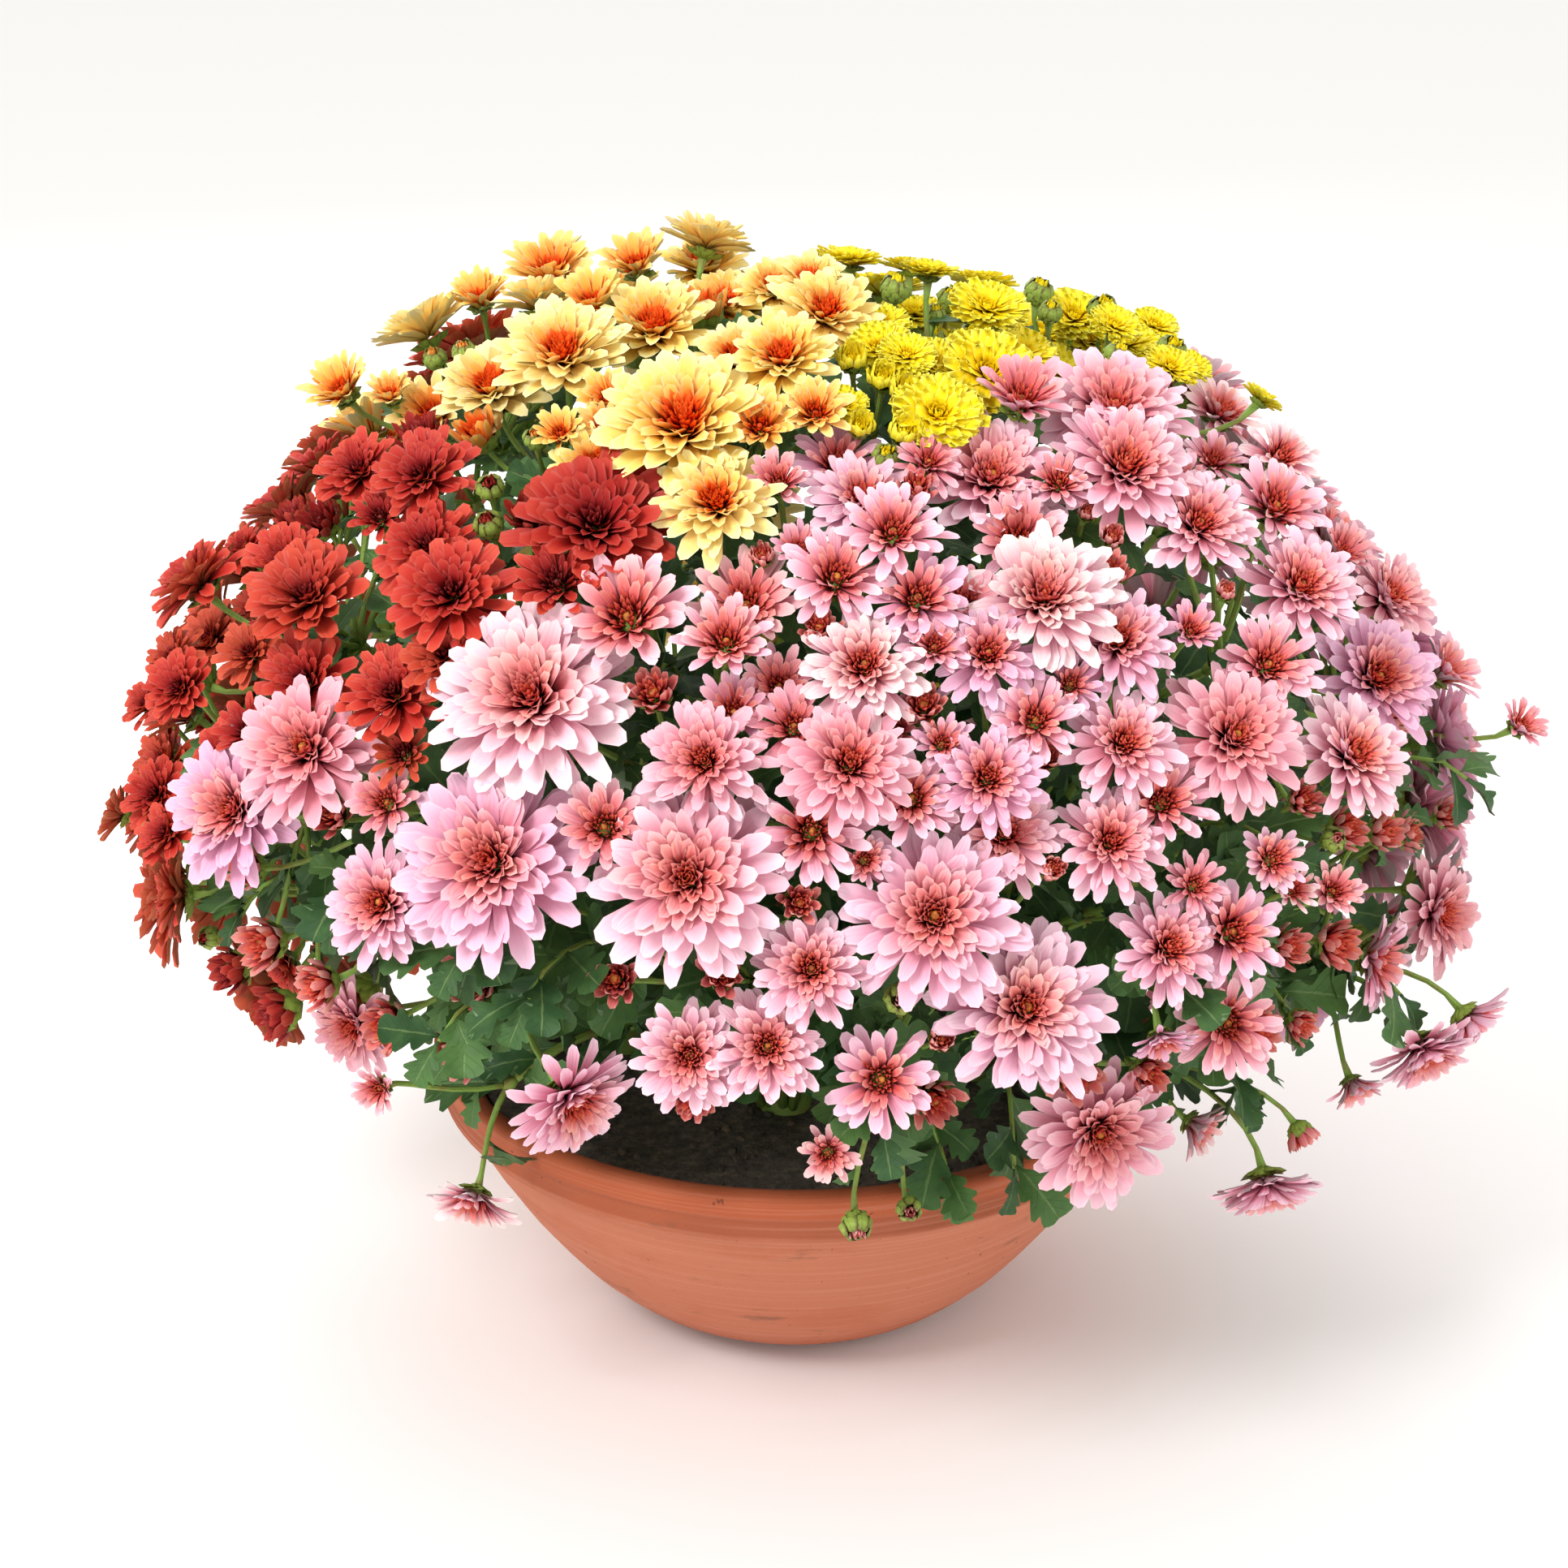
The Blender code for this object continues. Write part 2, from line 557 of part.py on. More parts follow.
def grow_head(bm, foot_ring, head, radius):
    """Closes a stalk's end with petals in two layers, in one where the head is small, or with a bud."""
    tip_rise, dip_out, dip_rise, inner_out, inner_rise, heart, _ = FORMS[head.form]
    side = head.facing.orthogonal().normalized()
    up = head.facing.cross(side)

    def point(turn, out, rise):
        return head.centre + radius * (out * (math.cos(turn) * side + math.sin(turn) * up) + rise * head.facing)

    count = head.petals()
    step = math.tau / count
    top = bm.verts.new(head.centre + radius * heart * head.facing)
    tips = [bm.verts.new(point(head.spin + k * step, 1.0, tip_rise)) for k in range(count)]
    if head.form == "b":
        stitch(bm, foot_ring, tips, head.centre, head.facing)
        for k in range(count):
            bm.faces.new((tips[k - 1], tips[k], top))
        return
    dips = [bm.verts.new(point(head.spin + (k + 0.5) * step, dip_out, dip_rise)) for k in range(count)]
    stitch(bm, foot_ring, tips + dips, head.centre, head.facing)
    if 2.0 * head.radius < ONE_LAYER_BELOW:
        for k in range(count):
            bm.faces.new((dips[k - 1], tips[k], top))
            bm.faces.new((tips[k], dips[k], top))
        return
    inner = [bm.verts.new(point(head.spin + (k + 0.5) * step, inner_out, inner_rise)) for k in range(count)]
    for k in range(count):
        bm.faces.new((inner[k - 1], tips[k], inner[k]))
        bm.faces.new((inner[k - 1], dips[k - 1], tips[k]))
        bm.faces.new((tips[k], dips[k], inner[k]))
        bm.faces.new((inner[k - 1], inner[k], top))


def foot_of(head, radius):
    return head.centre - head.facing * (FORMS[head.form][6] * radius)


def grow_stalk(bm, face, head, radius):
    """Draws one face of the fork out to a head's foot, with a bend where the head nods."""
    ring = list(face.verts)
    middle = face.calc_center_median()
    way = face.normal.copy()
    arms = [(vert.co - middle).normalized() for vert in ring]
    bm.faces.remove(face)
    foot = foot_of(head, radius)
    straight = (foot - middle).normalized()
    stops = [(foot, head.facing)]
    if way.angle(head.facing) > BENT_STALK:
        reach = (foot - middle).length
        bent = 0.5 * (foot + middle) + BENT_STALK_BOW * reach * (straight - head.facing).normalized()
        stops.insert(0, (bent, straight))
    for place, new_way in stops:
        arms = turned(arms, way, new_way)
        new_ring = [bm.verts.new(place + STALK_RADIUS * arm) for arm in arms]
        for k in range(3):
            n = (k + 1) % 3
            bm.faces.new((ring[k], ring[n], new_ring[n]))
            bm.faces.new((ring[k], new_ring[n], new_ring[k]))
        ring = new_ring
        way = new_way
    return ring


def fork_bmesh(spray):
    """The knot that the stalks part from: twenty faces, or eight where it carries few heads."""
    bm = bmesh.new()
    tilt = Vector((0.0, 0.0, 1.0)).rotation_difference(spray.way).to_matrix().to_4x4()
    place = Matrix.Translation(spray.fork) @ tilt
    if len(spray.heads) > FEW_HEADS:
        bmesh.ops.create_icosphere(bm, subdivisions=1, radius=FORK_RADIUS, matrix=place)
        return bm
    ends = [bm.verts.new(place @ Vector((0.0, 0.0, end * FORK_RADIUS))) for end in (-1.0, 1.0)]
    belt = []
    for k in range(4):
        turn = math.tau * k / 4
        belt.append(bm.verts.new(place @ Vector((FORK_RADIUS * math.cos(turn), FORK_RADIUS * math.sin(turn), 0.0))))
    for k in range(4):
        bm.faces.new((belt[k - 1], belt[k], ends[1]))
        bm.faces.new((belt[k], belt[k - 1], ends[0]))
    return bm


def spray_bmesh(spray, sizes):
    bm = fork_bmesh(spray)
    bm.normal_update()
    free = [face for face in bm.faces if face.normal.dot(spray.way) > FORK_UNDERSIDE]
    order = sorted(spray.heads, key=lambda head: -(head.foot() - spray.fork).length)
    for head in order:
        way = (head.foot() - spray.fork).normalized()
        face = max(free, key=lambda f: f.normal.dot(way))
        free.remove(face)
        ring = grow_stalk(bm, face, head, sizes[id(head)])
        grow_head(bm, ring, head, sizes[id(head)])
    return bm


def meets(tree, others):
    return any(tree.overlap(other) for other in others)


def clear_spray(spray, sizes, blocked):
    """The spray's mesh, with its fork moved a little where a stalk would meet another spray."""
    first_fork = spray.fork
    for nudge in FORK_NUDGES:
        spray.fork = first_fork + FORK_NUDGE * Vector(nudge)
        bm = spray_bmesh(spray, sizes)
        if not meets(BVHTree.FromBMesh(bm), blocked):
            break
    return bm


def tree_of(bm):
    bmesh.ops.recalc_face_normals(bm, faces=bm.faces)
    tree = BVHTree.FromBMesh(bm)
    bm.free()
    return tree


def head_tree(head, radius):
    """The closed star of one head, a little larger than it is, to test what it meets."""
    bm = bmesh.new()
    side = head.facing.orthogonal().normalized()
    up = head.facing.cross(side)
    foot = foot_of(head, radius)
    ring = []
    for k in range(3):
        turn = math.tau * k / 3
        ring.append(bm.verts.new(foot + STALK_RADIUS * (math.cos(turn) * side + math.sin(turn) * up)))
    bm.faces.new(ring)
    grow_head(bm, ring, head, radius + HEAD_CLEARANCE)
    return tree_of(bm)


def stalk_tree(spray, head, radius):
    bm = bmesh.new()
    foot = foot_of(head, radius)
    way = (foot - spray.fork).normalized()
    start = spray.fork.lerp(foot, TESTED_FROM)
    side = way.orthogonal().normalized()
    up = way.cross(side)
    rings = []
    for place in (start, foot):
        ring = []
        for k in range(3):
            turn = math.tau * k / 3
            arm = math.cos(turn) * side + math.sin(turn) * up
            ring.append(bm.verts.new(place + TESTED_THICKER * STALK_RADIUS * arm))
        rings.append(ring)
    for k in range(3):
        n = (k + 1) % 3
        bm.faces.new((rings[0][k], rings[0][n], rings[1][n]))
        bm.faces.new((rings[0][k], rings[1][n], rings[1][k]))
    return tree_of(bm)


def clear_sizes(sprays):
    """Radii at which no head meets another head or a stalk: each one that does is made smaller."""
    sizes = {}
    owners = []
    for spray in sprays:
        for head in spray.heads:
            sizes[id(head)] = head.radius
            owners.append((spray, head))
    for _ in range(HEAD_TRIES):
        heads =[head_tree(head, sizes[id(head)]) for _, head in owners]
        stalks = [stalk_tree(spray, head, sizes[id(head)]) for spray, head in owners]
        touched = set()
        for i, (_, one) in enumerate(owners):
            for j in range(i + 1, len(owners)):
                two = owners[j][1]
                reach = one.radius + two.radius + 2.0 * FORK_DEPTH
                if (one.centre - two.centre).length_squared > reach * reach:
                    continue
                if heads[i].overlap(heads[j]):
                    touched.add(id(one if sizes[id(one)] / one.radius > sizes[id(two)] / two.radius else two))
                if heads[i].overlap(stalks[j]):
                    touched.add(id(one))
                if heads[j].overlap(stalks[i]):
                    touched.add(id(two))
        if not touched:
            break
        for _, head in owners:
            if id(head) in touched:
                sizes[id(head)] = max(sizes[id(head)] * HEAD_STEP, HEAD_SMALLEST * head.radius)
    return sizes


# Bowl and soil

def bowl_radius(height):
    """Outer radius of the body under the collar, at a height."""
    share = max(0.0, height) / (RIM_TOP - COLLAR_HEIGHT)
    return FOOT_RADIUS + (BODY_TOP_RADIUS - FOOT_RADIUS) * share ** BODY_CURVE


def inner_radius(height):
    share = max(0.0, height - FLOOR) / (RIM_TOP - FLOOR)
    return (FOOT_RADIUS - 0.006) + (RIM_RADIUS - 0.012 - FOOT_RADIUS + 0.006) * share ** BODY_CURVE


def turned_solid(name, profile, material, sides):
    """A solid turned from a profile of radius and height pairs that starts and ends on the axis."""
    bm = bmesh.new()
    rings = []
    for radius, height in profile:
        if radius == 0.0:
            rings.append([bm.verts.new((0.0, 0.0, height))])
            continue
        ring = []
        for k in range(sides):
            turn = math.tau * k / sides
            ring.append(bm.verts.new((radius * math.cos(turn), radius * math.sin(turn), height)))
        rings.append(ring)
    for lower, upper in zip(rings, rings[1:]):
        for k in range(sides):
            n = (k + 1) % sides
            if len(lower) == 1:
                bm.faces.new((lower[0], upper[n], upper[k]))
            elif len(upper) == 1:
                bm.faces.new((lower[k], lower[n], upper[0]))
            else:
                bm.faces.new((lower[k], lower[n], upper[n], upper[k]))
    return object_from(bm, name, material)


def make_bowl(material):
    collar_foot = RIM_TOP - COLLAR_HEIGHT
    profile = [(0.0, 0.0), (FOOT_RADIUS - 0.003, 0.0), (FOOT_RADIUS, 0.003)]
    for k in range(1, BODY_RINGS):
        height = 0.003 + (collar_foot - 0.006) * (k / BODY_RINGS) ** 1.6
        profile.append((bowl_radius(height), height))
    profile += [(BODY_TOP_RADIUS, collar_foot - 0.003), (COLLAR_FOOT_RADIUS, collar_foot)]
    profile += [(COLLAR_FOOT_RADIUS + 0.0005, collar_foot + 0.010), (RIM_RADIUS - 0.001, RIM_TOP - 0.009)]
    profile += [(RIM_RADIUS, RIM_TOP - 0.005), (RIM_RADIUS - 0.002, RIM_TOP - 0.001)]
    profile += [(RIM_RADIUS - 0.006, RIM_TOP), (RIM_RADIUS - 0.010, RIM_TOP - 0.001)]
    for height in INSIDE_HEIGHTS:
        profile.append((inner_radius(height), height))
    profile += [(inner_radius(FLOOR), FLOOR), (0.0, FLOOR)]
    return turned_solid("bowl", profile, material, BOWL_SIDES)


def make_soil(material):
    """A cake of soil that fills the bowl, with a plain hole for each crown."""
    profile = [(0.0, FLOOR + SOIL_GAP), (inner_radius(FLOOR) - SOIL_GAP, FLOOR + SOIL_GAP)]
    for height in reversed(INSIDE_HEIGHTS):
        profile.append((inner_radius(height) - 3.0 * SOIL_GAP, height))
    profile += [(inner_radius(INSIDE_HEIGHTS[0]) - 4.0 * SOIL_GAP, SOIL_TOP), (0.0, SOIL_TOP)]
    soil = turned_solid("soil", profile, material, BOWL_SIDES)
    for x, y in CROWNS.values():
        bm = bmesh.new()
        depth = CROWN_DEPTH + 0.004
        place = Matrix.Translation((x, y, SOIL_TOP - CROWN_DEPTH + 0.5 * depth - HOLE_CLEARANCE))
        radius = CROWN_RADIUS + HOLE_CLEARANCE
        bmesh.ops.create_cone(bm, cap_ends=True, segments=CROWN_SIDES, radius1=radius, radius2=radius,
                              depth=depth, matrix=place)
        cutter = object_from(bm, "hole", material)
        cut = soil.modifiers.new("hole", "BOOLEAN")
        cut.operation = "DIFFERENCE"
        cut.object = cutter
        cut.solver = "EXACT"
        bpy.context.view_layer.objects.active = soil
        bpy.ops.object.modifier_apply(modifier=cut.name)
        bpy.data.objects.remove(cutter, do_unlink=True)
    return soil


# Stems and leaves

def tube_bmesh(points, radii, sides):
    """A closed tube through points, with a radius at each."""
    bm = bmesh.new()
    way = (points[1] - points[0]).normalized()
    side = way.orthogonal().normalized()
    arms = [Matrix.Rotation(math.tau * k / sides, 3, way) @ side for k in range(sides)]
    rings = []
    for k, place in enumerate(points):
        before = points[max(k - 1, 0)]
        after = points[min(k + 1, len(points) - 1)]
        new_way = (after - before).normalized()
        arms = turned(arms, way, new_way)
        way = new_way
        rings.append([bm.verts.new(place + radii[k] * arm) for arm in arms])
    bm.faces.new(rings[0])
    bm.faces.new(rings[-1])
    for low, high in zip(rings, rings[1:]):
        for k in range(sides):
            n = (k + 1) % sides
            bm.faces.new((low[k], low[n], high[n]))
            bm.faces.new((low[k], high[n], high[k]))
    bmesh.ops.recalc_face_normals(bm, faces=bm.faces)
    return bm


def leaf_bmesh(root, way, length, face_way):
    """A lobed blade, thick along its rib, on a short three-sided stalk that is sunk in the stem."""
    bm = bmesh.new()
    face_way = (face_way - way * face_way.dot(way)).normalized()
    across = way.cross(face_way)
    stalk = PETIOLE_SHARE * length
    blade = length - stalk
    half = 0.5 * LEAF_THICKNESS
    droop = LEAF_EDGE_DROOP * blade

    def blade_point(along, out, lift):
        sag = LEAF_SAG * along * along * blade
        return root + way * (stalk + blade * along) + across * (LEAF_WIDTH_SHARE * blade * out) + (
            face_way * (lift - sag))

    low_ring = []
    for k in range(3):
        arm = Matrix.Rotation(math.tau * k / 3, 3, way) @ -face_way
        low_ring.append(bm.verts.new(root + PETIOLE_FOOT * PETIOLE_RADIUS * arm))
    bottom = bm.verts.new(root + way * stalk - face_way * PETIOLE_RADIUS)
    sides = []
    for hand in (1.0, -1.0):
        arm = across * (hand * PETIOLE_RADIUS) + face_way * (0.5 * PETIOLE_RADIUS)
        sides.append(bm.verts.new(root + way * stalk + arm))
    pairs = [(low_ring[0], bottom), (low_ring[1], sides[0]), (low_ring[2], sides[1])]
    if (low_ring[1].co - root).dot(across) < 0.0:
        pairs = [(low_ring[0], bottom), (low_ring[2], sides[0]), (low_ring[1], sides[1])]
    bm.faces.new(low_ring)
    for k in range(3):
        a, b = pairs[k]
        c, d = pairs[(k + 1) % 3]
        bm.faces.new((a, c, d))
        bm.faces.new((a, d, b))
    right = [bm.verts.new(blade_point(along, out, -droop * out)) for along, out in LEAF_OUTLINE]
    tip = bm.verts.new(blade_point(1.0, 0.0, 0.0))
    left = [bm.verts.new(blade_point(along, -out, -droop * out)) for along, out in reversed(LEAF_OUTLINE)]
    edge = [sides[0]] + right + [tip] + left + [sides[1]]
    top = bm.verts.new(blade_point(LEAF_THICKEST, 0.0, half))
    under = bm.verts.new(blade_point(LEAF_THICKEST, 0.0, -half))
    for one, two in zip(edge, edge[1:]):
        bm.faces.new((one, two, top))
        bm.faces.new((two, one, under))
    bm.faces.new((sides[1], sides[0], top))
    bm.faces.new((sides[0], bottom, under))
    bm.faces.new((bottom, sides[1], under))
    bmesh.ops.recalc_face_normals(bm, faces=bm.faces)
    return bm


def joined(name, parts, material):
    """One closed solid from many, by one Boolean union on a collection."""
    base, *others = [object_from(bm, f"{name}_part", material) for bm in parts]
    base.name = name
    group = bpy.data.collections.new(f"{name}_parts")
    bpy.context.scene.collection.children.link(group)
    for other in others:
        bpy.context.scene.collection.objects.unlink(other)
        group.objects.link(other)
    union = base.modifiers.new("joined", "BOOLEAN")
    union.operation = "UNION"
    union.operand_type = "COLLECTION"
    union.collection = group
    union.solver = "MANIFOLD"
    bpy.context.view_layer.objects.active = base
    bpy.ops.object.modifier_apply(modifier=union.name)
    for other in list(group.objects):
        bpy.data.objects.remove(other, do_unlink=True)
    bpy.data.collections.remove(group)
    return base


def crown_bmesh(plant):
    x, y = CROWNS[plant]
    bm = bmesh.new()
    depth = CROWN_DEPTH + CROWN_STANDS - 2.0 * HOLE_CLEARANCE
    place = Matrix.Translation((x, y, SOIL_TOP - CROWN_DEPTH + 0.5 * depth + HOLE_CLEARANCE))
    bmesh.ops.create_cone(bm, cap_ends=True, segments=CROWN_SIDES, radius1=CROWN_RADIUS,
                          radius2=0.8 * CROWN_RADIUS, depth=depth, matrix=place)
    return bm


def leaf_choices(points, place, number):
    """Ways that a leaf could leave a stem, the best first."""
    reach = place * (len(points) - 1)
    k = min(int(reach), len(points) - 2)
    root = points[k].lerp(points[k + 1], reach - k)
    along = (points[k + 1] - points[k]).normalized()
    side = along.orthogonal().normalized()
    outward = mound_outward(root)
    for length in LEAF_LENGTHS:
        for turn in range(LEAF_TURNS):
            angle = number * BACK_SPACING_ANGLE + math.tau * turn / LEAF_TURNS
            arm = Matrix.Rotation(angle, 3, along) @ side
            way = (0.85 * arm + 0.35 * along + 0.25 * outward).normalized()
            face = (Vector((0.0, 0.0, 0.7)) + 0.5 * outward).normalized()
            yield root, way, length, face


def clear_stem(spray, blocked):
    """The first curve for a stem, of those tried, that meets nothing."""
    radii = [STEM_RADIUS + (STEM_TIP_RADIUS - STEM_RADIUS) * k / STEM_PARTS for k in range(STEM_PARTS + 1)]
    first = None
    for lift in STEM_LIFTS:
        for sidestep in STEM_SIDESTEPS:
            points = spray.stem_points(sidestep, lift)
            stem = tube_bmesh(points, radii, 3)
            if not meets(BVHTree.FromBMesh(stem), blocked):
                return points, stem
            first = first or (points, stem)
    return first


def make_plant(plant, sprays, blocked, material):
    """A crown, a stem to each of its sprays, and leaves wherever they fit."""
    parts = [crown_bmesh(plant)]
    stems = []
    for spray in sprays:
        points, stem = clear_stem(spray, blocked)
        stems.append(points)
        parts.append(stem)
    trees = [BVHTree.FromBMesh(part) for part in parts[1:]]
    leaves = []
    number = 0
    for place in LEAF_PLACES:
        for own, points in enumerate(stems):
            number += 1
            if len(leaves) == LEAVES_A_PLANT:
                break
            for root, way, length, face in leaf_choices(points, place, number):
                leaf = leaf_bmesh(root, way, length, face)
                tree = BVHTree.FromBMesh(leaf)
                other_stems = [t for k, t in enumerate(trees) if k != own]
                low = min(vert.co.z for vert in leaf.verts)
                if low > SOIL_TOP + LEAF_OVER_SOIL and not meets(tree, blocked + other_stems + leaves):
                    parts.append(leaf)
                    leaves.append(tree)
                    break
                leaf.free()
    return joined(f"{plant}_stems_leaves", parts, material)


def tree_of_object(piece):
    bm = bmesh.new()
    bm.from_mesh(piece.data)
    tree = BVHTree.FromBMesh(bm)
    bm.free()
    return tree


def build():
    clear_scene()
    terracotta = finish_material("terracotta", (0.62, 0.24, 0.11), 0.80)
    earth = finish_material("soil", (0.030, 0.022, 0.018), 0.95)
    green = finish_material("leaf_green", (0.060, 0.150, 0.040), 0.60)
    petals = {
        "apricot": finish_material("apricot_petals", (0.95, 0.62, 0.22), 0.55),
        "yellow": finish_material("yellow_petals", (0.95, 0.72, 0.03), 0.55),
        "red": finish_material("red_petals", (0.62, 0.10, 0.06), 0.55),
        "pink": finish_material("pink_petals", (0.90, 0.52, 0.56), 0.55),
    }
    bowl = make_bowl(terracotta)
    make_soil(earth)
    sprays = make_sprays(all_heads())
    sizes = clear_sizes(sprays)
    blocked = [tree_of_object(bowl)]
    for spray in sprays:
        piece = object_from(clear_spray(spray, sizes, blocked), spray.name, petals[spray.name.split("_")[0]])
        blocked.append(tree_of_object(piece))
    for plant in CROWNS:
        own = [spray for spray in sprays if spray.plant == plant]
        blocked.append(tree_of_object(make_plant(plant, own, blocked, green)))


build()
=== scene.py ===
import math
import random

import bpy
import numpy as np
from mathutils import Matrix, Vector


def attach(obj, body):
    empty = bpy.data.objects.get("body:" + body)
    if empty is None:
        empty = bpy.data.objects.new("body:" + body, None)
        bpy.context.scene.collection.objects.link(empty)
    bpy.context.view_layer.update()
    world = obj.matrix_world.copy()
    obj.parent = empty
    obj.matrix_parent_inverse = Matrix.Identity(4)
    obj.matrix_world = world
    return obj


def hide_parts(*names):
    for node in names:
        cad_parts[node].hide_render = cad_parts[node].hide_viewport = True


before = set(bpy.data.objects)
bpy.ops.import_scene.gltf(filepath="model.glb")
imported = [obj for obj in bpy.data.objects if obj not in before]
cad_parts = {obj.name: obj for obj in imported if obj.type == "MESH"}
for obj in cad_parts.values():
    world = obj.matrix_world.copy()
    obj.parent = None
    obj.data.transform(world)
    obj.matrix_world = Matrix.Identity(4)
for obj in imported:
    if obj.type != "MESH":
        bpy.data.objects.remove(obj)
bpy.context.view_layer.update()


# The picture is taken from the front with a portrait lens, a little above the flowers, and looks
# down at the bowl. Soft daylight comes from all round, with a broad light from the upper left.
PICTURE_MIDDLE = 966.0
FOCAL_PIXELS = 3663.0
SENSOR_WIDTH = 36.0
EYE_TILT = math.radians(22.21)
EYE_DISTANCE = 1.4
EYE_AIM = Vector((-0.0055, 0.0, 0.261))
FORWARD = Vector((0.0, math.cos(EYE_TILT), -math.sin(EYE_TILT)))
UPWARD = Vector((0.0, math.sin(EYE_TILT), math.cos(EYE_TILT)))
EYE = EYE_AIM - EYE_DISTANCE * FORWARD
SKY_COLOUR = (1.0, 0.99, 0.97, 1.0)
SKY_STRENGTH = 1.02
FLOOR_COLOUR = (0.91, 0.905, 0.895, 1.0)
FLOOR_SIZE = 60.0
LIGHT_AIM = Vector((0.0, 0.0, 0.28))

camera_data = bpy.data.cameras.new("camera")
camera_data.sensor_width = SENSOR_WIDTH
camera_data.lens = FOCAL_PIXELS / (2.0 * PICTURE_MIDDLE) * SENSOR_WIDTH
camera = bpy.data.objects.new("camera", camera_data)
camera.location = EYE
camera.rotation_euler = (math.pi / 2.0 - EYE_TILT, 0.0, 0.0)
bpy.context.scene.collection.objects.link(camera)
bpy.context.scene.camera = camera
bpy.context.scene.view_settings.view_transform = "Standard"

sky = bpy.data.worlds.new("sky")
sky.use_nodes = True
sky.node_tree.nodes["Background"].inputs["Color"].default_value = SKY_COLOUR
sky.node_tree.nodes["Background"].inputs["Strength"].default_value = SKY_STRENGTH
bpy.context.scene.world = sky


def soft_light(name, place, size, watts):
    data = bpy.data.lights.new(name, "AREA")
    data.shape = "DISK"
    data.size = size
    data.energy = watts
    light = bpy.data.objects.new(name, data)
    light.location = place
    light.rotation_euler = (LIGHT_AIM - Vector(place)).to_track_quat("-Z", "Y").to_euler()
    bpy.context.scene.collection.objects.link(light)


soft_light("window", (-1.2, -1.5, 2.1), 0.9, 38.0)
soft_light("bounce", (1.9, -0.9, 1.2), 1.6, 5.0)
soft_light("back", (-0.4, 1.7, 1.5), 1.2, 13.0)


class Wire:
    """An output in a material's node tree. Arithmetic on wires and numbers adds Math nodes."""

    def __init__(self, tree, socket=None):
        self.tree = tree
        self.socket = socket

    def node(self, kind, settings, values, output=0):
        """Adds a node: its settings first, then a number, colour or wire for each named socket."""
        made = self.tree.nodes.new(kind)
        for name, value in settings.items():
            if name == "stops":
                while len(made.color_ramp.elements) < len(value):
                    made.color_ramp.elements.new(0.5)
                for element, (place, colour) in zip(made.color_ramp.elements, value):
                    element.position = place
                    element.color = colour
            else:
                setattr(made, name, value)
        for key, value in values.items():
            if isinstance(value, Wire):
                self.tree.links.new(value.socket, made.inputs[key])
            else:
                made.inputs[key].default_value = value
        return Wire(self.tree, made.outputs[output])

    def math(self, operation, first, second=0.0):
        return self.node("ShaderNodeMath", {"operation": operation}, {0: first, 1: second})

    def __add__(self, other):
        return self.math("ADD", self, other)

    def __radd__(self, other):
        return self.math("ADD", other, self)

    def __sub__(self, other):
        return self.math("SUBTRACT", self, other)

    def __rsub__(self, other):
        return self.math("SUBTRACT", other, self)

    def __mul__(self, other):
        return self.math("MULTIPLY", self, other)

    def __rmul__(self, other):
        return self.math("MULTIPLY", other, self)

    def __abs__(self):
        return self.math("ABSOLUTE", self)

    def fraction(self):
        return self.math("FRACT", self)

    def sine(self):
        return self.math("SINE", self)

    def attribute(self, name, output="Vector"):
        """A value that the mesh holds at its points or faces."""
        return self.node("ShaderNodeAttribute", {"attribute_name": name}, {}, output)

    def axes(self):
        """The three numbers of a vector."""
        return [self.node("ShaderNodeSeparateXYZ", {}, {0: self}, axis) for axis in "XYZ"]

    def place(self):
        """The place on the piece, in metres."""
        return self.node("ShaderNodeTexCoord", {}, {}, "Object")

    def step(self, low, high):
        """Rises smoothly from 0 to 1 as the wire goes from low to high."""
        settings = {"interpolation_type": "SMOOTHSTEP"}
        return self.node("ShaderNodeMapRange", settings, {"Value": self, "From Min": low, "From Max": high})

    def mixed(self, colour, other, blend="MIX"):
        """A colour that goes to another as this wire goes from 0 to 1."""
        settings = {"data_type": "RGBA", "blend_type": blend}
        return self.node("ShaderNodeMix", settings, {0: self, 6: colour, 7: other}, 2)

    def ramp(self, *stops):
        return self.node("ShaderNodeValToRGB", {"stops": stops}, {"Fac": self})

    def noise(self, scale, detail=3.0, rough=0.5, stretch=(1.0, 1.0, 1.0)):
        """Noise over the piece, whose size is given by the number of cells in a metre."""
        place = self.node("ShaderNodeVectorMath", {"operation": "MULTIPLY"}, {0: self.place(), 1: stretch})
        values = {"Vector": place, "Scale": scale, "Detail": detail, "Roughness": rough}
        return self.node("ShaderNodeTexNoise", {}, values)

    def bump(self, distance, strength=1.0):
        values = {"Height": self, "Distance": distance, "Strength": strength}
        return self.node("ShaderNodeBump", {}, values)


def tint(*camera_values):
    """A colour as a camera writes it, from 0 to 255, as the light that it stands for."""
    light = []
    for value in camera_values:
        light.append(((value / 255.0 + 0.055) / 1.055) ** 2.4 if value > 10 else value / 3294.6)
    return (*light, 1.0)


def new_material(name, **fixed):
    """A material with the shader's fixed values, and a wire to start its node tree from."""
    material = bpy.data.materials.new(name)
    material.use_nodes = True
    shader = material.node_tree.nodes["Principled BSDF"]
    for key, value in fixed.items():
        shader.inputs[key.replace("_", " ")].default_value = value
    return material, Wire(material.node_tree)


def feed(material, **wires):
    shader = material.node_tree.nodes["Principled BSDF"]
    for key, wire in wires.items():
        material.node_tree.links.new(wire.socket, shader.inputs[key.replace("_", " ")])


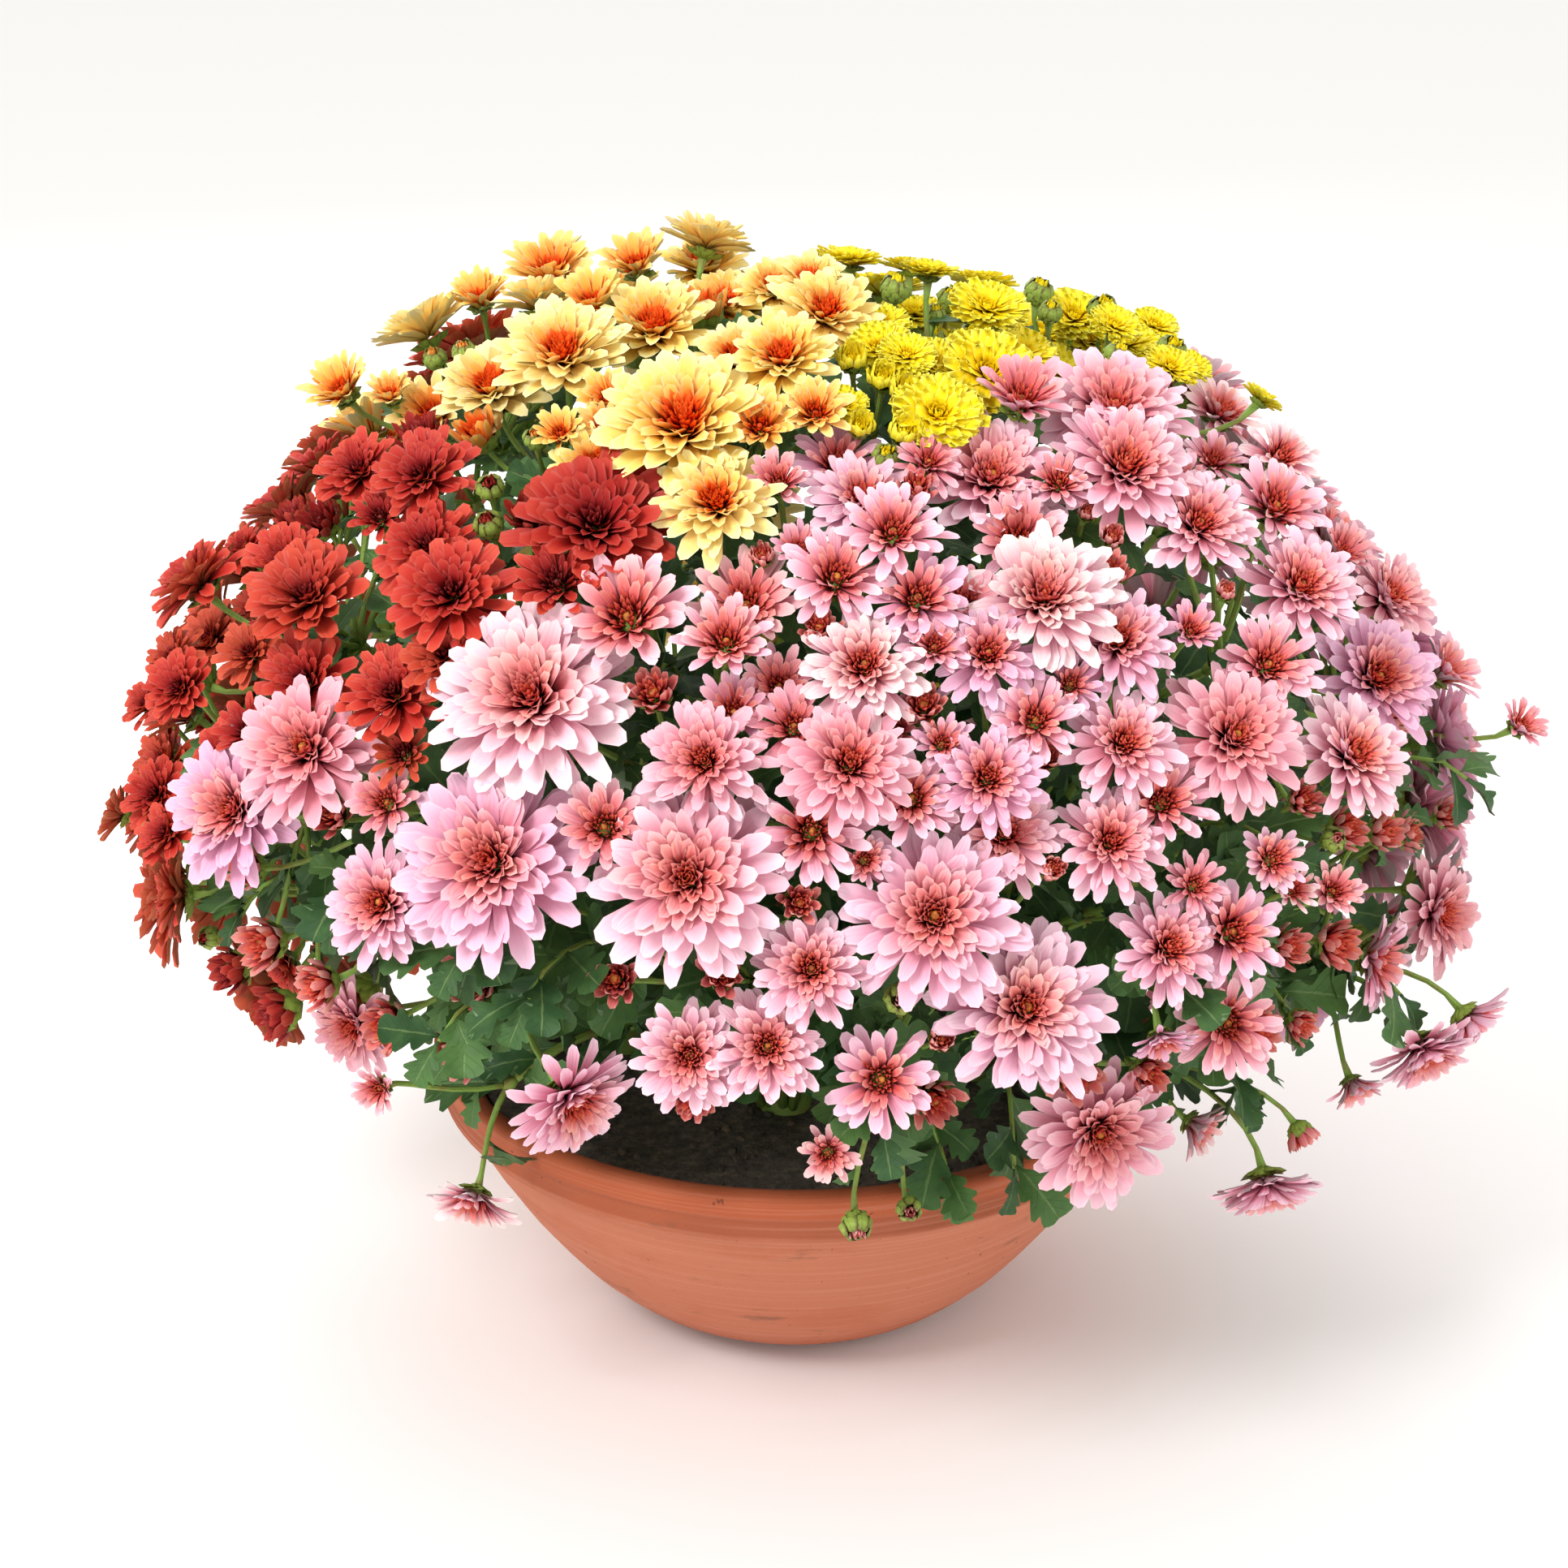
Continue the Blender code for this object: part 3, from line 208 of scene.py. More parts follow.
floor_mesh = bpy.data.meshes.new("floor")
half_floor = 0.5 * FLOOR_SIZE
floor_corners = [(-half_floor, -half_floor, 0.0), (half_floor, -half_floor, 0.0)]
floor_corners += [(half_floor, half_floor, 0.0), (-half_floor, half_floor, 0.0)]
floor_mesh.from_pydata(floor_corners, [], [(0, 1, 2, 3)])
floor = bpy.data.objects.new("floor", floor_mesh)
floor_material, start = new_material("floor", Roughness=0.9, Base_Color=FLOOR_COLOUR)
floor_mesh.materials.append(floor_material)
bpy.context.scene.collection.objects.link(floor)


# The bowl is thrown in one piece from red clay and fired without glaze: a thick rounded lip, a
# collar with a shallow groove, a small step, and a body that curves in to a small turned foot.
RIM_TOP = 0.139
RIM_RADIUS = 0.175
COLLAR_HEIGHT = 0.0245
FOOT_RADIUS = 0.062
BODY_TOP_RADIUS = 0.168
BODY_CURVE = 0.55
BOWL_FLOOR = 0.011
WALL_THICK = 0.006
LIP_THICK = 0.012
LIP_INSIDE = 0.128
INSIDE_HEIGHTS = (0.118, 0.100, 0.070, 0.040, 0.022, 0.014)
BOWL_TURNS = 112
BODY_STEPS = 26
BODY_STEP_CURVE = 1.4
UNDER_COLLAR = 0.0016
THROWING_LINE = 0.00016
THROWING_WAVES = 1500.0
THROWING_UNEVEN = 0.00007
# The foot's rounded edge, as distances out from its radius and up from the ground
FOOT_EDGE = ((-0.0040, 0.0), (-0.0012, 0.0006), (0.0, 0.0030))
# The step, the band with its groove, and the rounded lip, as distances out and up from the body's top
COLLAR = (
    (0.0006, -0.0014), (0.0030, -0.0010), (0.0040, 0.0000), (0.0043, 0.0012), (0.0036, 0.0024),
    (0.0034, 0.0040), (0.0031, 0.0062), (0.0029, 0.0080), (0.0030, 0.0096), (0.0036, 0.0108),
    (0.0048, 0.0116), (0.0056, 0.0130), (0.0059, 0.0150), (0.0064, 0.0172), (0.0068, 0.0192),
    (0.0068, 0.0208), (0.0062, 0.0224), (0.0050, 0.0236), (0.0032, 0.0243), (0.0010, 0.0245),
    (-0.0014, 0.0241), (-0.0032, 0.0228), (-0.0044, 0.0208),
)


class Growth:
    """Collects the points, faces and surface values of one piece and makes its mesh."""

    def __init__(self):
        self.count = 0
        self.points = []
        self.part = []
        self.draw = []
        self.margin = []
        self.corners = {3: [], 4: []}
        self.under = {3: [], 4: []}
        self.finish = {3: [], 4: []}

    def add(self, points, faces, part, draw, margin=None, under=None, finish=0):
        """Adds points with their values, and faces, triangles or quads, in arrays of a kind each."""
        number = len(points)
        self.points.append(points)
        self.part.append(np.broadcast_to(part, (number, 3)))
        self.draw.append(np.broadcast_to(draw, (number, 3)))
        self.margin.append(np.zeros(number, bool) if margin is None else margin)
        for kind, corners in enumerate(faces):
            sides = corners.shape[1]
            self.corners[sides].append(corners + self.count)
            flags = np.zeros(len(corners)) if under is None else under[kind]
            self.under[sides].append(flags)
            self.finish[sides].append(np.full(len(corners), finish))
        self.count += number

    def made(self, name, materials):
        mesh = bpy.data.meshes.new(name)
        loops = []
        totals = []
        under = []
        finish = []
        for sides in (3, 4):
            if self.corners[sides]:
                corners = np.concatenate(self.corners[sides])
                loops.append(corners.ravel())
                totals.append(np.full(len(corners), sides))
                under.append(np.concatenate(self.under[sides]))
                finish.append(np.concatenate(self.finish[sides]))
        loops = np.concatenate(loops).astype(np.int32)
        totals = np.concatenate(totals).astype(np.int32)
        starts = np.concatenate(([0], np.cumsum(totals)[:-1])).astype(np.int32)
        points = np.concatenate(self.points).astype(np.float32)
        mesh.vertices.add(len(points))
        mesh.vertices.foreach_set("co", points.ravel())
        mesh.loops.add(len(loops))
        mesh.loops.foreach_set("vertex_index", loops)
        mesh.polygons.add(len(totals))
        mesh.polygons.foreach_set("loop_start", starts)
        mesh.update(calc_edges=True)
        for label, values in (("part", self.part), ("draw", self.draw)):
            layer = mesh.attributes.new(label, "FLOAT_VECTOR", "POINT")
            layer.data.foreach_set("vector", np.concatenate(values).astype(np.float32).ravel())
        layer = mesh.attributes.new("under", "FLOAT", "FACE")
        layer.data.foreach_set("value", np.concatenate(under).astype(np.float32))
        margin = np.concatenate(self.margin)
        edges = np.empty(2 * len(mesh.edges), np.int32)
        mesh.edges.foreach_get("vertices", edges)
        sharp = mesh.attributes.new("sharp_edge", "BOOLEAN", "EDGE")
        sharp.data.foreach_set("value", margin[edges.reshape(-1, 2)].all(axis=1))
        for material in materials:
            mesh.materials.append(material)
        mesh.polygons.foreach_set("material_index", np.concatenate(finish).astype(np.int32))
        mesh.polygons.foreach_set("use_smooth", np.ones(len(totals), bool))
        piece = bpy.data.objects.new(name, mesh)
        bpy.context.scene.collection.objects.link(piece)
        return piece


def band_quads(rows, turns):
    """The faces between rings of points, row after row."""
    row, spot = np.meshgrid(np.arange(rows - 1) * turns, np.arange(turns), indexing="ij")
    after = (spot + 1) % turns
    corners = (row + spot, row + after, row + turns + after, row + turns + spot)
    return np.stack(corners, axis=-1).reshape(-1, 4)


def turned(profile, turns, ends):
    """Points and faces of a profile of radius and height pairs turned round the upright axis."""
    profile = np.array(profile)
    angles = np.arange(turns) * math.tau / turns
    points = np.empty((len(profile), turns, 3))
    points[:, :, 0] = profile[:, :1] * np.cos(angles)
    points[:, :, 1] = profile[:, :1] * np.sin(angles)
    points[:, :, 2] = profile[:, 1:]
    points = points.reshape(-1, 3)
    fans = []
    for row, height in ends:
        middle = len(points)
        points = np.vstack((points, (0.0, 0.0, height)))
        ring = row % len(profile) * turns + np.arange(turns)
        after = np.roll(ring, -1)
        pair = (after, ring) if row == 0 else (ring, after)
        fans.append(np.stack((*pair, np.full(turns, middle)), axis=-1))
    return points, [band_quads(len(profile), turns), np.concatenate(fans)]


def body_radius(height):
    share = height / (RIM_TOP - COLLAR_HEIGHT)
    return FOOT_RADIUS + (BODY_TOP_RADIUS - FOOT_RADIUS) * share ** BODY_CURVE


def inner_radius(height):
    share = (height - BOWL_FLOOR) / (RIM_TOP - BOWL_FLOOR)
    low = FOOT_RADIUS - WALL_THICK
    return low + (RIM_RADIUS - LIP_THICK - low) * share ** BODY_CURVE


bowl_rng = np.random.default_rng(3)
collar_foot = RIM_TOP - COLLAR_HEIGHT
bowl_profile = [(FOOT_RADIUS + out, up) for out, up in FOOT_EDGE]
body_foot = bowl_profile[-1][1]
body_height = collar_foot - UNDER_COLLAR - body_foot
for number in range(1, BODY_STEPS + 1):
    height = body_foot + body_height * (number / BODY_STEPS) ** BODY_STEP_CURVE
    line = THROWING_LINE * math.sin(height * THROWING_WAVES) + bowl_rng.normal(0.0, THROWING_UNEVEN)
    bowl_profile.append((body_radius(height) + line, height))
for out, up in COLLAR:
    bowl_profile.append((BODY_TOP_RADIUS + out, collar_foot + up))
for height in (LIP_INSIDE, *INSIDE_HEIGHTS, BOWL_FLOOR):
    bowl_profile.append((inner_radius(height), height))
bowl = Growth()
bowl_points, bowl_faces = turned(bowl_profile, BOWL_TURNS, ((0, 0.0), (-1, BOWL_FLOOR)))
bowl.add(bowl_points, bowl_faces, (0, 0, 0), (0, 0, 0))

LIP_CLAY = tint(184, 94, 60)
COLLAR_CLAY = tint(170, 92, 64)
BODY_CLAY = tint(196, 118, 88)
PALE_CLAY = tint(212, 146, 120)
SMUDGE = tint(112, 82, 66)
SPECK = tint(70, 50, 42)
CLAY_GRAIN = (0.15, 0.05, 0.02, 1.0)
CLAY_DRIFT = 0.004
BODY_CLAY_FROM = 0.03

terracotta, start = new_material("terracotta", Specular_IOR_Level=0.25)
drift = start.noise(26.0, 4.0, 0.6)
level = start.place().axes()[2] + (drift - 0.5) * CLAY_DRIFT
clay = level.ramp((0.0, COLLAR_CLAY), (BODY_CLAY_FROM, BODY_CLAY), (collar_foot - 0.001, BODY_CLAY),
                  (collar_foot + 0.001, COLLAR_CLAY), (collar_foot + 0.010, COLLAR_CLAY),
                  (collar_foot + 0.013, LIP_CLAY))
rings = start.noise(90.0, 3.0, 0.6, (0.06, 0.06, 6.0))
clay = ((rings - 0.46).step(0.0, 0.22) * 0.30).mixed(clay, PALE_CLAY)
blotch = start.noise(13.0, 5.0, 0.62, (1.0, 1.0, 2.4))
clay = ((blotch - 0.50).step(0.0, 0.16) * 0.35).mixed(clay, LIP_CLAY)
dirt = start.noise(30.0, 6.0, 0.66, (0.7, 0.7, 2.8))
clay = ((dirt - 0.60).step(0.0, 0.10) * 0.55).mixed(clay, SMUDGE)
speck = start.noise(150.0, 3.0, 0.6)
clay = ((speck - 0.69).step(0.0, 0.03) * 0.6).mixed(clay, SPECK)
grain = start.noise(1500.0, 2.0)
clay = (grain * 0.12).mixed(clay, CLAY_GRAIN)
feed(terracotta, Base_Color=clay, Roughness=0.72 + 0.2 * blotch,
     Normal=(grain * 0.5 + rings * 0.7 + dirt * 0.2).bump(0.0006, 0.6))
bowl_piece = bowl.made("terracotta_bowl", [terracotta])
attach(bowl_piece, "root")
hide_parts("bowl")


# The soil is dark, moist potting compost with bark crumbs and fine pale roots. It was poured in
# round the plants and lies a thumb's width below the lip.
SOIL_TOP = 0.122
SOIL_GAP = 0.0005
SOIL_TURNS = 104
SOIL_RINGS = 38
SOIL_WAVES = (25.0, 45.0, 80.0, 140.0, 240.0, 400.0, 650.0)
WAVES_OF_A_KIND = 7
WAVE_HEIGHT = 0.35
RELIEF = 0.045
SOIL_CRUMBS = 420
CRUMBS_TO = 0.96
CRUMB_SIZE = (0.0010, 0.0034)
CRUMB_STRETCH = (0.5, 1.3)
CRUMB_UNEVEN = 0.0003
CRUMB_LIFT = 0.0004
CRUMB_CORNERS = np.array([(1, 0, 0), (-1, 0, 0), (0, 1, 0), (0, -1, 0), (0, 0, 1), (0, 0, -1)], float)
CRUMB_FACES = np.array([
    (0, 2, 4), (2, 1, 4), (1, 3, 4), (3, 0, 4), (2, 0, 5), (1, 2, 5), (3, 1, 5), (0, 3, 5),
])
DEEP_EARTH = tint(60, 55, 50)
EARTH = tint(100, 91, 82)
PALE_EARTH = tint(142, 127, 108)
BARK = tint(132, 112, 90)
FINE_ROOT = tint(150, 128, 100)
ROOT_NET = 70.0
ROOT_WIDTH = 0.012

soil_rng = np.random.default_rng(11)
soil_waves = [
    (soil_rng.normal(0.0, 1.0, 2) * scale, soil_rng.uniform(0, math.tau), WAVE_HEIGHT / scale)
    for scale in SOIL_WAVES for _ in range(WAVES_OF_A_KIND)
]


def soil_relief(x, y):
    return sum(size * np.sin(way[0] * x + way[1] * y + turn) for way, turn, size in soil_waves) * RELIEF


soil_edge = inner_radius(SOIL_TOP) - 2.0 * SOIL_GAP
soil_profile = [(inner_radius(BOWL_FLOOR) - SOIL_GAP, BOWL_FLOOR + SOIL_GAP)]
for height in reversed(INSIDE_HEIGHTS):
    soil_profile.append((inner_radius(height) - 3.0 * SOIL_GAP, height))
for ring_number in range(SOIL_RINGS):
    soil_profile.append((soil_edge * (1.0 - ring_number / SOIL_RINGS), SOIL_TOP))
soil_points, soil_faces = turned(soil_profile, SOIL_TURNS, ((0, BOWL_FLOOR + SOIL_GAP), (-1, SOIL_TOP)))
raised = soil_points[:, 2] > SOIL_TOP - SOIL_GAP
soil_points[raised, 2] += soil_relief(soil_points[raised, 0], soil_points[raised, 1])
soil = Growth()
soil.add(soil_points, soil_faces, (0, 0, 0), (0, 0, 0))

for _ in range(SOIL_CRUMBS):
    out = soil_edge * CRUMBS_TO * math.sqrt(soil_rng.random())
    turn = soil_rng.uniform(0.0, math.tau)
    x, y = out * math.cos(turn), out * math.sin(turn)
    size = soil_rng.uniform(*CRUMB_SIZE) * soil_rng.uniform(*CRUMB_STRETCH, 3)
    spin = np.array(Matrix.Rotation(soil_rng.uniform(0, math.tau), 3, Vector(soil_rng.normal(0, 1, 3))))
    crumb = (CRUMB_CORNERS * size + soil_rng.normal(0.0, CRUMB_UNEVEN, (6, 3))) @ spin.T
    crumb = crumb + (x, y, SOIL_TOP + soil_relief(x, y) + CRUMB_LIFT)
    soil.add(crumb, [CRUMB_FACES], (1, 0, 0), (soil_rng.random(), 0, 0))

potting_soil, start = new_material("potting_soil", Specular_IOR_Level=0.3)
crumb_draw = start.attribute("draw").axes()[0]
lumps = start.noise(160.0, 6.0, 0.7)
earth = lumps.ramp((0.30, DEEP_EARTH), (0.52, EARTH), (0.72, PALE_EARTH))
earth = (crumb_draw.step(0.55, 1.0) * 0.6).mixed(earth, BARK)
root_net = {"Vector": start.place(), "Scale": ROOT_NET}
roots = start.node("ShaderNodeTexVoronoi", {"feature": "DISTANCE_TO_EDGE"}, root_net, "Distance")
earth = ((ROOT_WIDTH - roots).step(0.0, 0.01) * 0.45).mixed(earth, FINE_ROOT)
feed(potting_soil, Base_Color=earth, Roughness=0.75 + 0.2 * lumps, Normal=lumps.bump(0.003, 0.8))
soil_piece = soil.made("potting_soil", [potting_soil])
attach(soil_piece, "root")
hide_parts("soil")


# Every flower and bud has its place: those of the near side as seen along their sight lines, and
# even rows on the far side. They crowd a mound that is wider than deep, and push each other apart.
CROWN_RADIUS = 0.015
CROWNS = {
    "apricot": (-0.040, 0.075),
    "yellow": (0.060, 0.070),
    "red": (-0.085, 0.005),
    "pink_front": (-0.005, -0.060),
    "pink_right": (0.085, -0.020),
}
MOUND_CENTRE = Vector((0.0, 0.0, 0.250))
MOUND_HALF_X = 0.315
MOUND_HALF_Y = 0.250
MOUND_UP = 0.262
MOUND_DOWN = 0.185
BOWL_CLEAR_RADIUS = 0.212
BOWL_CLEAR_HEIGHT = 0.150
MILLIMETRE = 0.001
SIGHT_MILLIMETRES = range(950, 1750)
GRAZING_MILLIMETRES = 270
GRAZING_SHARE = 0.62

# Flower heads seen from the front: picture x, picture y, width in mm, form and, for some, the
# way that they face. Forms: f full, y young with a dark heart, h half open, b bud
APRICOT_HEADS = [
    (424, 485, 32, "y"), (483, 490, 22, "y"), (535, 513, 33, "y"), (484, 545, 22, "y"),
    (608, 487, 49, "f"), (695, 447, 53, "f"), (525, 411, 44, "f", (-0.50, 0.15, 0.86)),
    (593, 372, 28, "y"), (663, 376, 37, "f", (-0.1, 0.25, 0.95)), (680, 339, 39, "y"),
    (731, 377, 30, "y"), (692, 537, 22, "y"), (734, 580, 36, "f"), (751, 495, 25, "y"),
    (746, 529, 22, "y"), (786, 331, 32, "y"), (870, 302, 38, "f", (0.25, 0.32, 0.92)),
    (865, 335, 37, "f"), (806, 413, 50, "f"), (891, 381, 38, "f"), (955, 362, 33, "f"),
    (998, 352, 32, "f"), (1017, 393, 42, "f"), (908, 448, 36, "f"), (965, 449, 42, "f"),
    (845, 532, 62, "f"), (937, 529, 29, "y"), (1005, 512, 28, "y"), (884, 626, 44, "f"),
    (865, 471, 12, "b"), (535, 441, 11, "b"), (571, 432, 10, "b"), (599, 438, 9, "b"),
    (640, 425, 10, "b"), (660, 540, 10, "b"),
]
YELLOW_HEADS = [
    (1126, 389, 29, "f"), (1086, 403, 22, "f"), (1084, 432, 25, "f"), (1117, 440, 22, "f"),
    (1050, 444, 15, "h"), (1088, 467, 15, "h"), (1114, 482, 14, "h"), (1148, 450, 23, "f"),
    (1166, 430, 24, "f"), (1150, 480, 11, "h"), (1216, 383, 31, "f"), (1216, 462, 38, "f"),
    (1259, 438, 26, "f"), (1282, 414, 34, "f"), (1300, 462, 30, "f"), (1155, 514, 34, "f"),
    (1115, 534, 16, "h"), (1060, 526, 13, "h"), (1041, 500, 17, "f"), (1323, 394, 31, "f"),
    (1338, 420, 24, "f"), (1372, 403, 22, "f"), (1390, 425, 26, "f"), (1422, 403, 20, "f"),
    (1403, 445, 28, "f"), (1442, 455, 22, "f"), (1467, 452, 18, "f"), (1350, 455, 22, "f"),
    (1553, 493, 18, "f", (0.6, 0.3, 0.7)),
    (1171, 369, 11, "b"), (1152, 387, 9, "b"), (1150, 417, 11, "b"), (1196, 418, 13, "b"),
    (1204, 391, 12, "b"), (1252, 403, 12, "b"), (1280, 359, 12, "b"), (1294, 384, 10, "b"),
    (1316, 371, 11, "b"), (1360, 381, 13, "b"), (1443, 430, 12, "b"), (1375, 441, 13, "b"),
    (1091, 561, 10, "b"),
]
RED_HEADS = [
    (445, 585, 33, "f"), (525, 592, 38, "f"), (398, 644, 21, "h"), (355, 698, 32, "f"),
    (304, 680, 24, "f"), (246, 722, 42, "f", (-0.6, -0.1, 0.75)), (383, 742, 45, "f"),
    (319, 752, 22, "y"), (533, 680, 40, "f"), (560, 738, 45, "f"), (735, 655, 58, "f"),
    (655, 640, 22, "h"), (688, 722, 32, "y"), (263, 792, 32, "f"), (218, 812, 26, "f"),
    (312, 808, 28, "f"), (381, 843, 37, "f"), (226, 850, 30, "f"), (184, 869, 22, "f"),
    (490, 860, 38, "f"), (552, 812, 31, "f"), (309, 902, 25, "y"), (266, 892, 18, "y"),
    (208, 940, 32, "f"), (197, 982, 30, "f"), (150, 1004, 24, "f", (-0.85, 0.1, 0.35)),
    (210, 1028, 26, "f"), (222, 1104, 34, "f", (-0.9, -0.2, 0.1)), (285, 935, 30, "f"),
    (355, 1185, 26, "f", (-0.5, -0.5, -0.2)), (500, 930, 24, "y"), (470, 640, 22, "y"),
    (415, 573, 10, "b"), (604, 600, 11, "b"), (602, 646, 12, "b"), (276, 1106, 11, "b"),
    (258, 1155, 10, "b"),
]
PINK_HEADS = [
    (383, 928, 58, "f"), (296, 1000, 58, "f"), (409, 1004, 20, "h"), (478, 990, 28, "y"),
    (475, 1115, 46, "f"), (440, 1260, 42, "f"), (470, 1340, 22, "y"),
    (660, 865, 73, "f"), (612, 1065, 73, "f"), (745, 1020, 36, "y"), (850, 1085, 71, "f"),
    (870, 940, 45, "f"), (775, 765, 48, "y"), (895, 795, 36, "y"), (920, 750, 42, "y"),
    (805, 855, 22, "h"), (905, 880, 31, "y"), (1045, 945, 49, "f"), (1000, 1025, 41, "f"),
    (1065, 825, 47, "f"), (1065, 1060, 20, "y"), (1030, 715, 39, "f"), (1100, 660, 38, "f"),
    (1218, 597, 56, "f"), (1255, 670, 38, "y"), (1285, 745, 58, "f"), (1215, 810, 42, "f"),
    (1375, 795, 44, "f"), (1383, 583, 55, "f"), (1370, 515, 60, "f"), (1257, 497, 38, "y"),
    (1473, 652, 45, "f"), (1032, 575, 35, "f"), (1061, 620, 42, "f"), (960, 597, 25, "y"),
    (1304, 598, 26, "y"), (1502, 512, 38, "f"), (1575, 566, 32, "f"), (1569, 628, 40, "f"),
    (1597, 728, 48, "f"), (1494, 571, 28, "f"), (1451, 603, 30, "f"), (1615, 625, 26, "y"),
    (1650, 684, 28, "y"), (1705, 740, 44, "f"), (1690, 840, 54, "f"), (1775, 830, 33, "y"),
    (1515, 912, 57, "f"), (1660, 935, 50, "f"), (1380, 920, 43, "f"), (1275, 890, 33, "f"),
    (1235, 1030, 44, "f"), (1365, 1040, 42, "f"), (1430, 990, 36, "f"), (1150, 1130, 64, "f"),
    (1260, 1245, 65, "f"), (1435, 1170, 43, "f"), (1515, 1150, 39, "f"), (1565, 1060, 27, "y"),
    (1640, 1100, 25, "y"), (1605, 985, 18, "h"), (1765, 1125, 46, "f"),
    (1690, 1180, 40, "f", (0.75, -0.6, 0.0)), (1752, 1290, 43, "f", (0.35, -0.7, -0.55)),
    (1807, 1253, 34, "f", (0.6, -0.3, -0.7)), (1510, 1260, 39, "f"),
    (1350, 1390, 58, "f", (0.15, -0.95, 0.15)), (1470, 1385, 28, "y", (0.7, -0.5, -0.3)),
    (1559, 1456, 43, "f", (0.15, -0.6, -0.75)), (1604, 1397, 18, "h", (0.5, -0.4, -0.7)),
    (1666, 1335, 24, "y", (0.35, -0.6, -0.6)), (1870, 895, 24, "y"), (1780, 1005, 17, "h"),
    (1000, 1195, 42, "f"), (945, 1290, 42, "f"), (850, 1300, 42, "f"), (1085, 1330, 39, "f"),
    (1020, 1420, 24, "y"), (700, 1350, 48, "f", (0.5, -0.7, -0.25)),
    (585, 1475, 35, "f", (-0.2, -0.6, -0.5)), (890, 1200, 20, "h"), (1143, 572, 26, "f"),
    (1130, 600, 18, "h"), (1371, 662, 14, "h"), (1510, 729, 12, "h"), (1368, 705, 18, "h"),
    (1339, 632, 11, "h"), (1160, 1280, 15, "h"), (1152, 713, 13, "h"), (1130, 740, 38, "f"),
    (1188, 745, 28, "f"), (1465, 780, 24, "y"), (1138, 870, 19, "h"), (1288, 932, 16, "h"),
    (1160, 918, 23, "y"), (1318, 845, 24, "f"), (1215, 962, 42, "f"), (1560, 822, 38, "f"),
    (939, 685, 14, "h"), (985, 680, 22, "y"), (1010, 775, 18, "h"), (960, 848, 30, "y"),
    (1150, 800, 26, "f"), (1100, 900, 28, "f"), (978, 898, 32, "f"), (1122, 985, 34, "f"),
    (1296, 1070, 15, "h"), (984, 1112, 18, "h"), (1590, 1097, 20, "y"), (1470, 1092, 24, "f"),
    (1430, 1278, 24, "f", (0.2, -0.6, -0.5)), (1643, 1034, 11, "b"), (1110, 1230, 13, "b"),
    (1055, 1510, 14, "b", (0.1, -0.7, -0.3)), (1120, 1490, 11, "b", (0.1, -0.7, 0.1)),
]
SEEN_HEADS = {"apricot": APRICOT_HEADS, "yellow": YELLOW_HEADS, "red": RED_HEADS, "pink": PINK_HEADS}

GOLDEN_ANGLE = math.pi * (3.0 - math.sqrt(5.0))
BACK_HEADS = 90
BACK_COVER = 0.86
BACK_LOWEST = -0.74
BACK_EDGE = -0.03
BACK_SET_IN = 0.95
BACK_TURNED = -0.12
BACK_CLEAR_SHARE = 0.66
BACK_YOUNG_SHARE = 0.25
BACK_PINK_BELOW = 0.20
BACK_PINK_LOW_FROM = -0.12
BACK_PINK_HIGH_FROM = 0.17
BACK_RED_TO = -0.15
BACK_WIDTHS = {
    "apricot": (0.046, 0.062), "yellow": (0.036, 0.050), "red": (0.042, 0.056), "pink": (0.052, 0.074),
}
LEAN_OUT = 0.60
LEAN_UP = 0.34
LEAN_FRONT = {"apricot": 0.55, "yellow": 0.50, "red": 0.42, "pink": 0.42}
LEAN_SCATTER = 0.13
SHOWN_LEAST = 0.34
PUSH_SHARE = 0.67
PUSH_ROUNDS = 70
PUSH_LIMIT = 0.040
PUSH_NEARER = 0.15
PUSH_FARTHER = 0.35
PUSH_TIE = -0.002
FOOT_BEHIND = {"f": 0.30, "y": 0.28, "h": 0.50, "b": 0.75}
SPRAYS = {"apricot": 9, "yellow": 8, "red": 9, "pink_front": 13, "pink_right": 14}
SPRAY_MOST = 11
FORK_DEPTH = 0.046
FORK_TO_CROWN = 0.55
FORK_BEHIND_FACES = 0.45
FORK_OVER_RIM = 0.022
STEM_OVER_RIM = 0.052
STEM_CLEARS_RIM_FROM = 0.09
STEM_AIM_HEIGHT = 0.05
STEM_START_HEIGHT = 0.004
STEM_LEAST_SPREAD = 0.15
STEM_RISE = 0.45
STEM_EARLY_SIDE = 0.15
STEM_LATE = 0.38
STEM_LATE_OUT = 0.6
STEM_LATE_SIDE = 0.4


def mound_half(height):
    """The mound's half widths, and its height over or under its centre."""
    return Vector((MOUND_HALF_X, MOUND_HALF_Y, MOUND_UP if height > 0 else MOUND_DOWN))


def mound_level(point):
    """How far out a point is, 1 being on the mound's face."""
    offset = point - MOUND_CENTRE
    half = mound_half(offset.z)
    return Vector([offset[k] / half[k] for k in range(3)]).length


def mound_outward(point):
    """The way that the mound faces at a point."""
    offset = point - MOUND_CENTRE
    half = mound_half(offset.z)
    return Vector([offset[k] / half[k] ** 2 for k in range(3)]).normalized()


def spiral_offset(number, height):
    """A place on the mound, seen from its centre: its number on a spiral, and its height as a share."""
    turn = number * GOLDEN_ANGLE
    flat = math.sqrt(1.0 - height * height)
    rise = MOUND_UP if height > 0 else MOUND_DOWN
    return Vector((MOUND_HALF_X * flat * math.cos(turn), MOUND_HALF_Y * flat * math.sin(turn), rise * height))


def near_bowl(point):
    return point.z < BOWL_CLEAR_HEIGHT and math.hypot(point.x, point.y) < BOWL_CLEAR_RADIUS


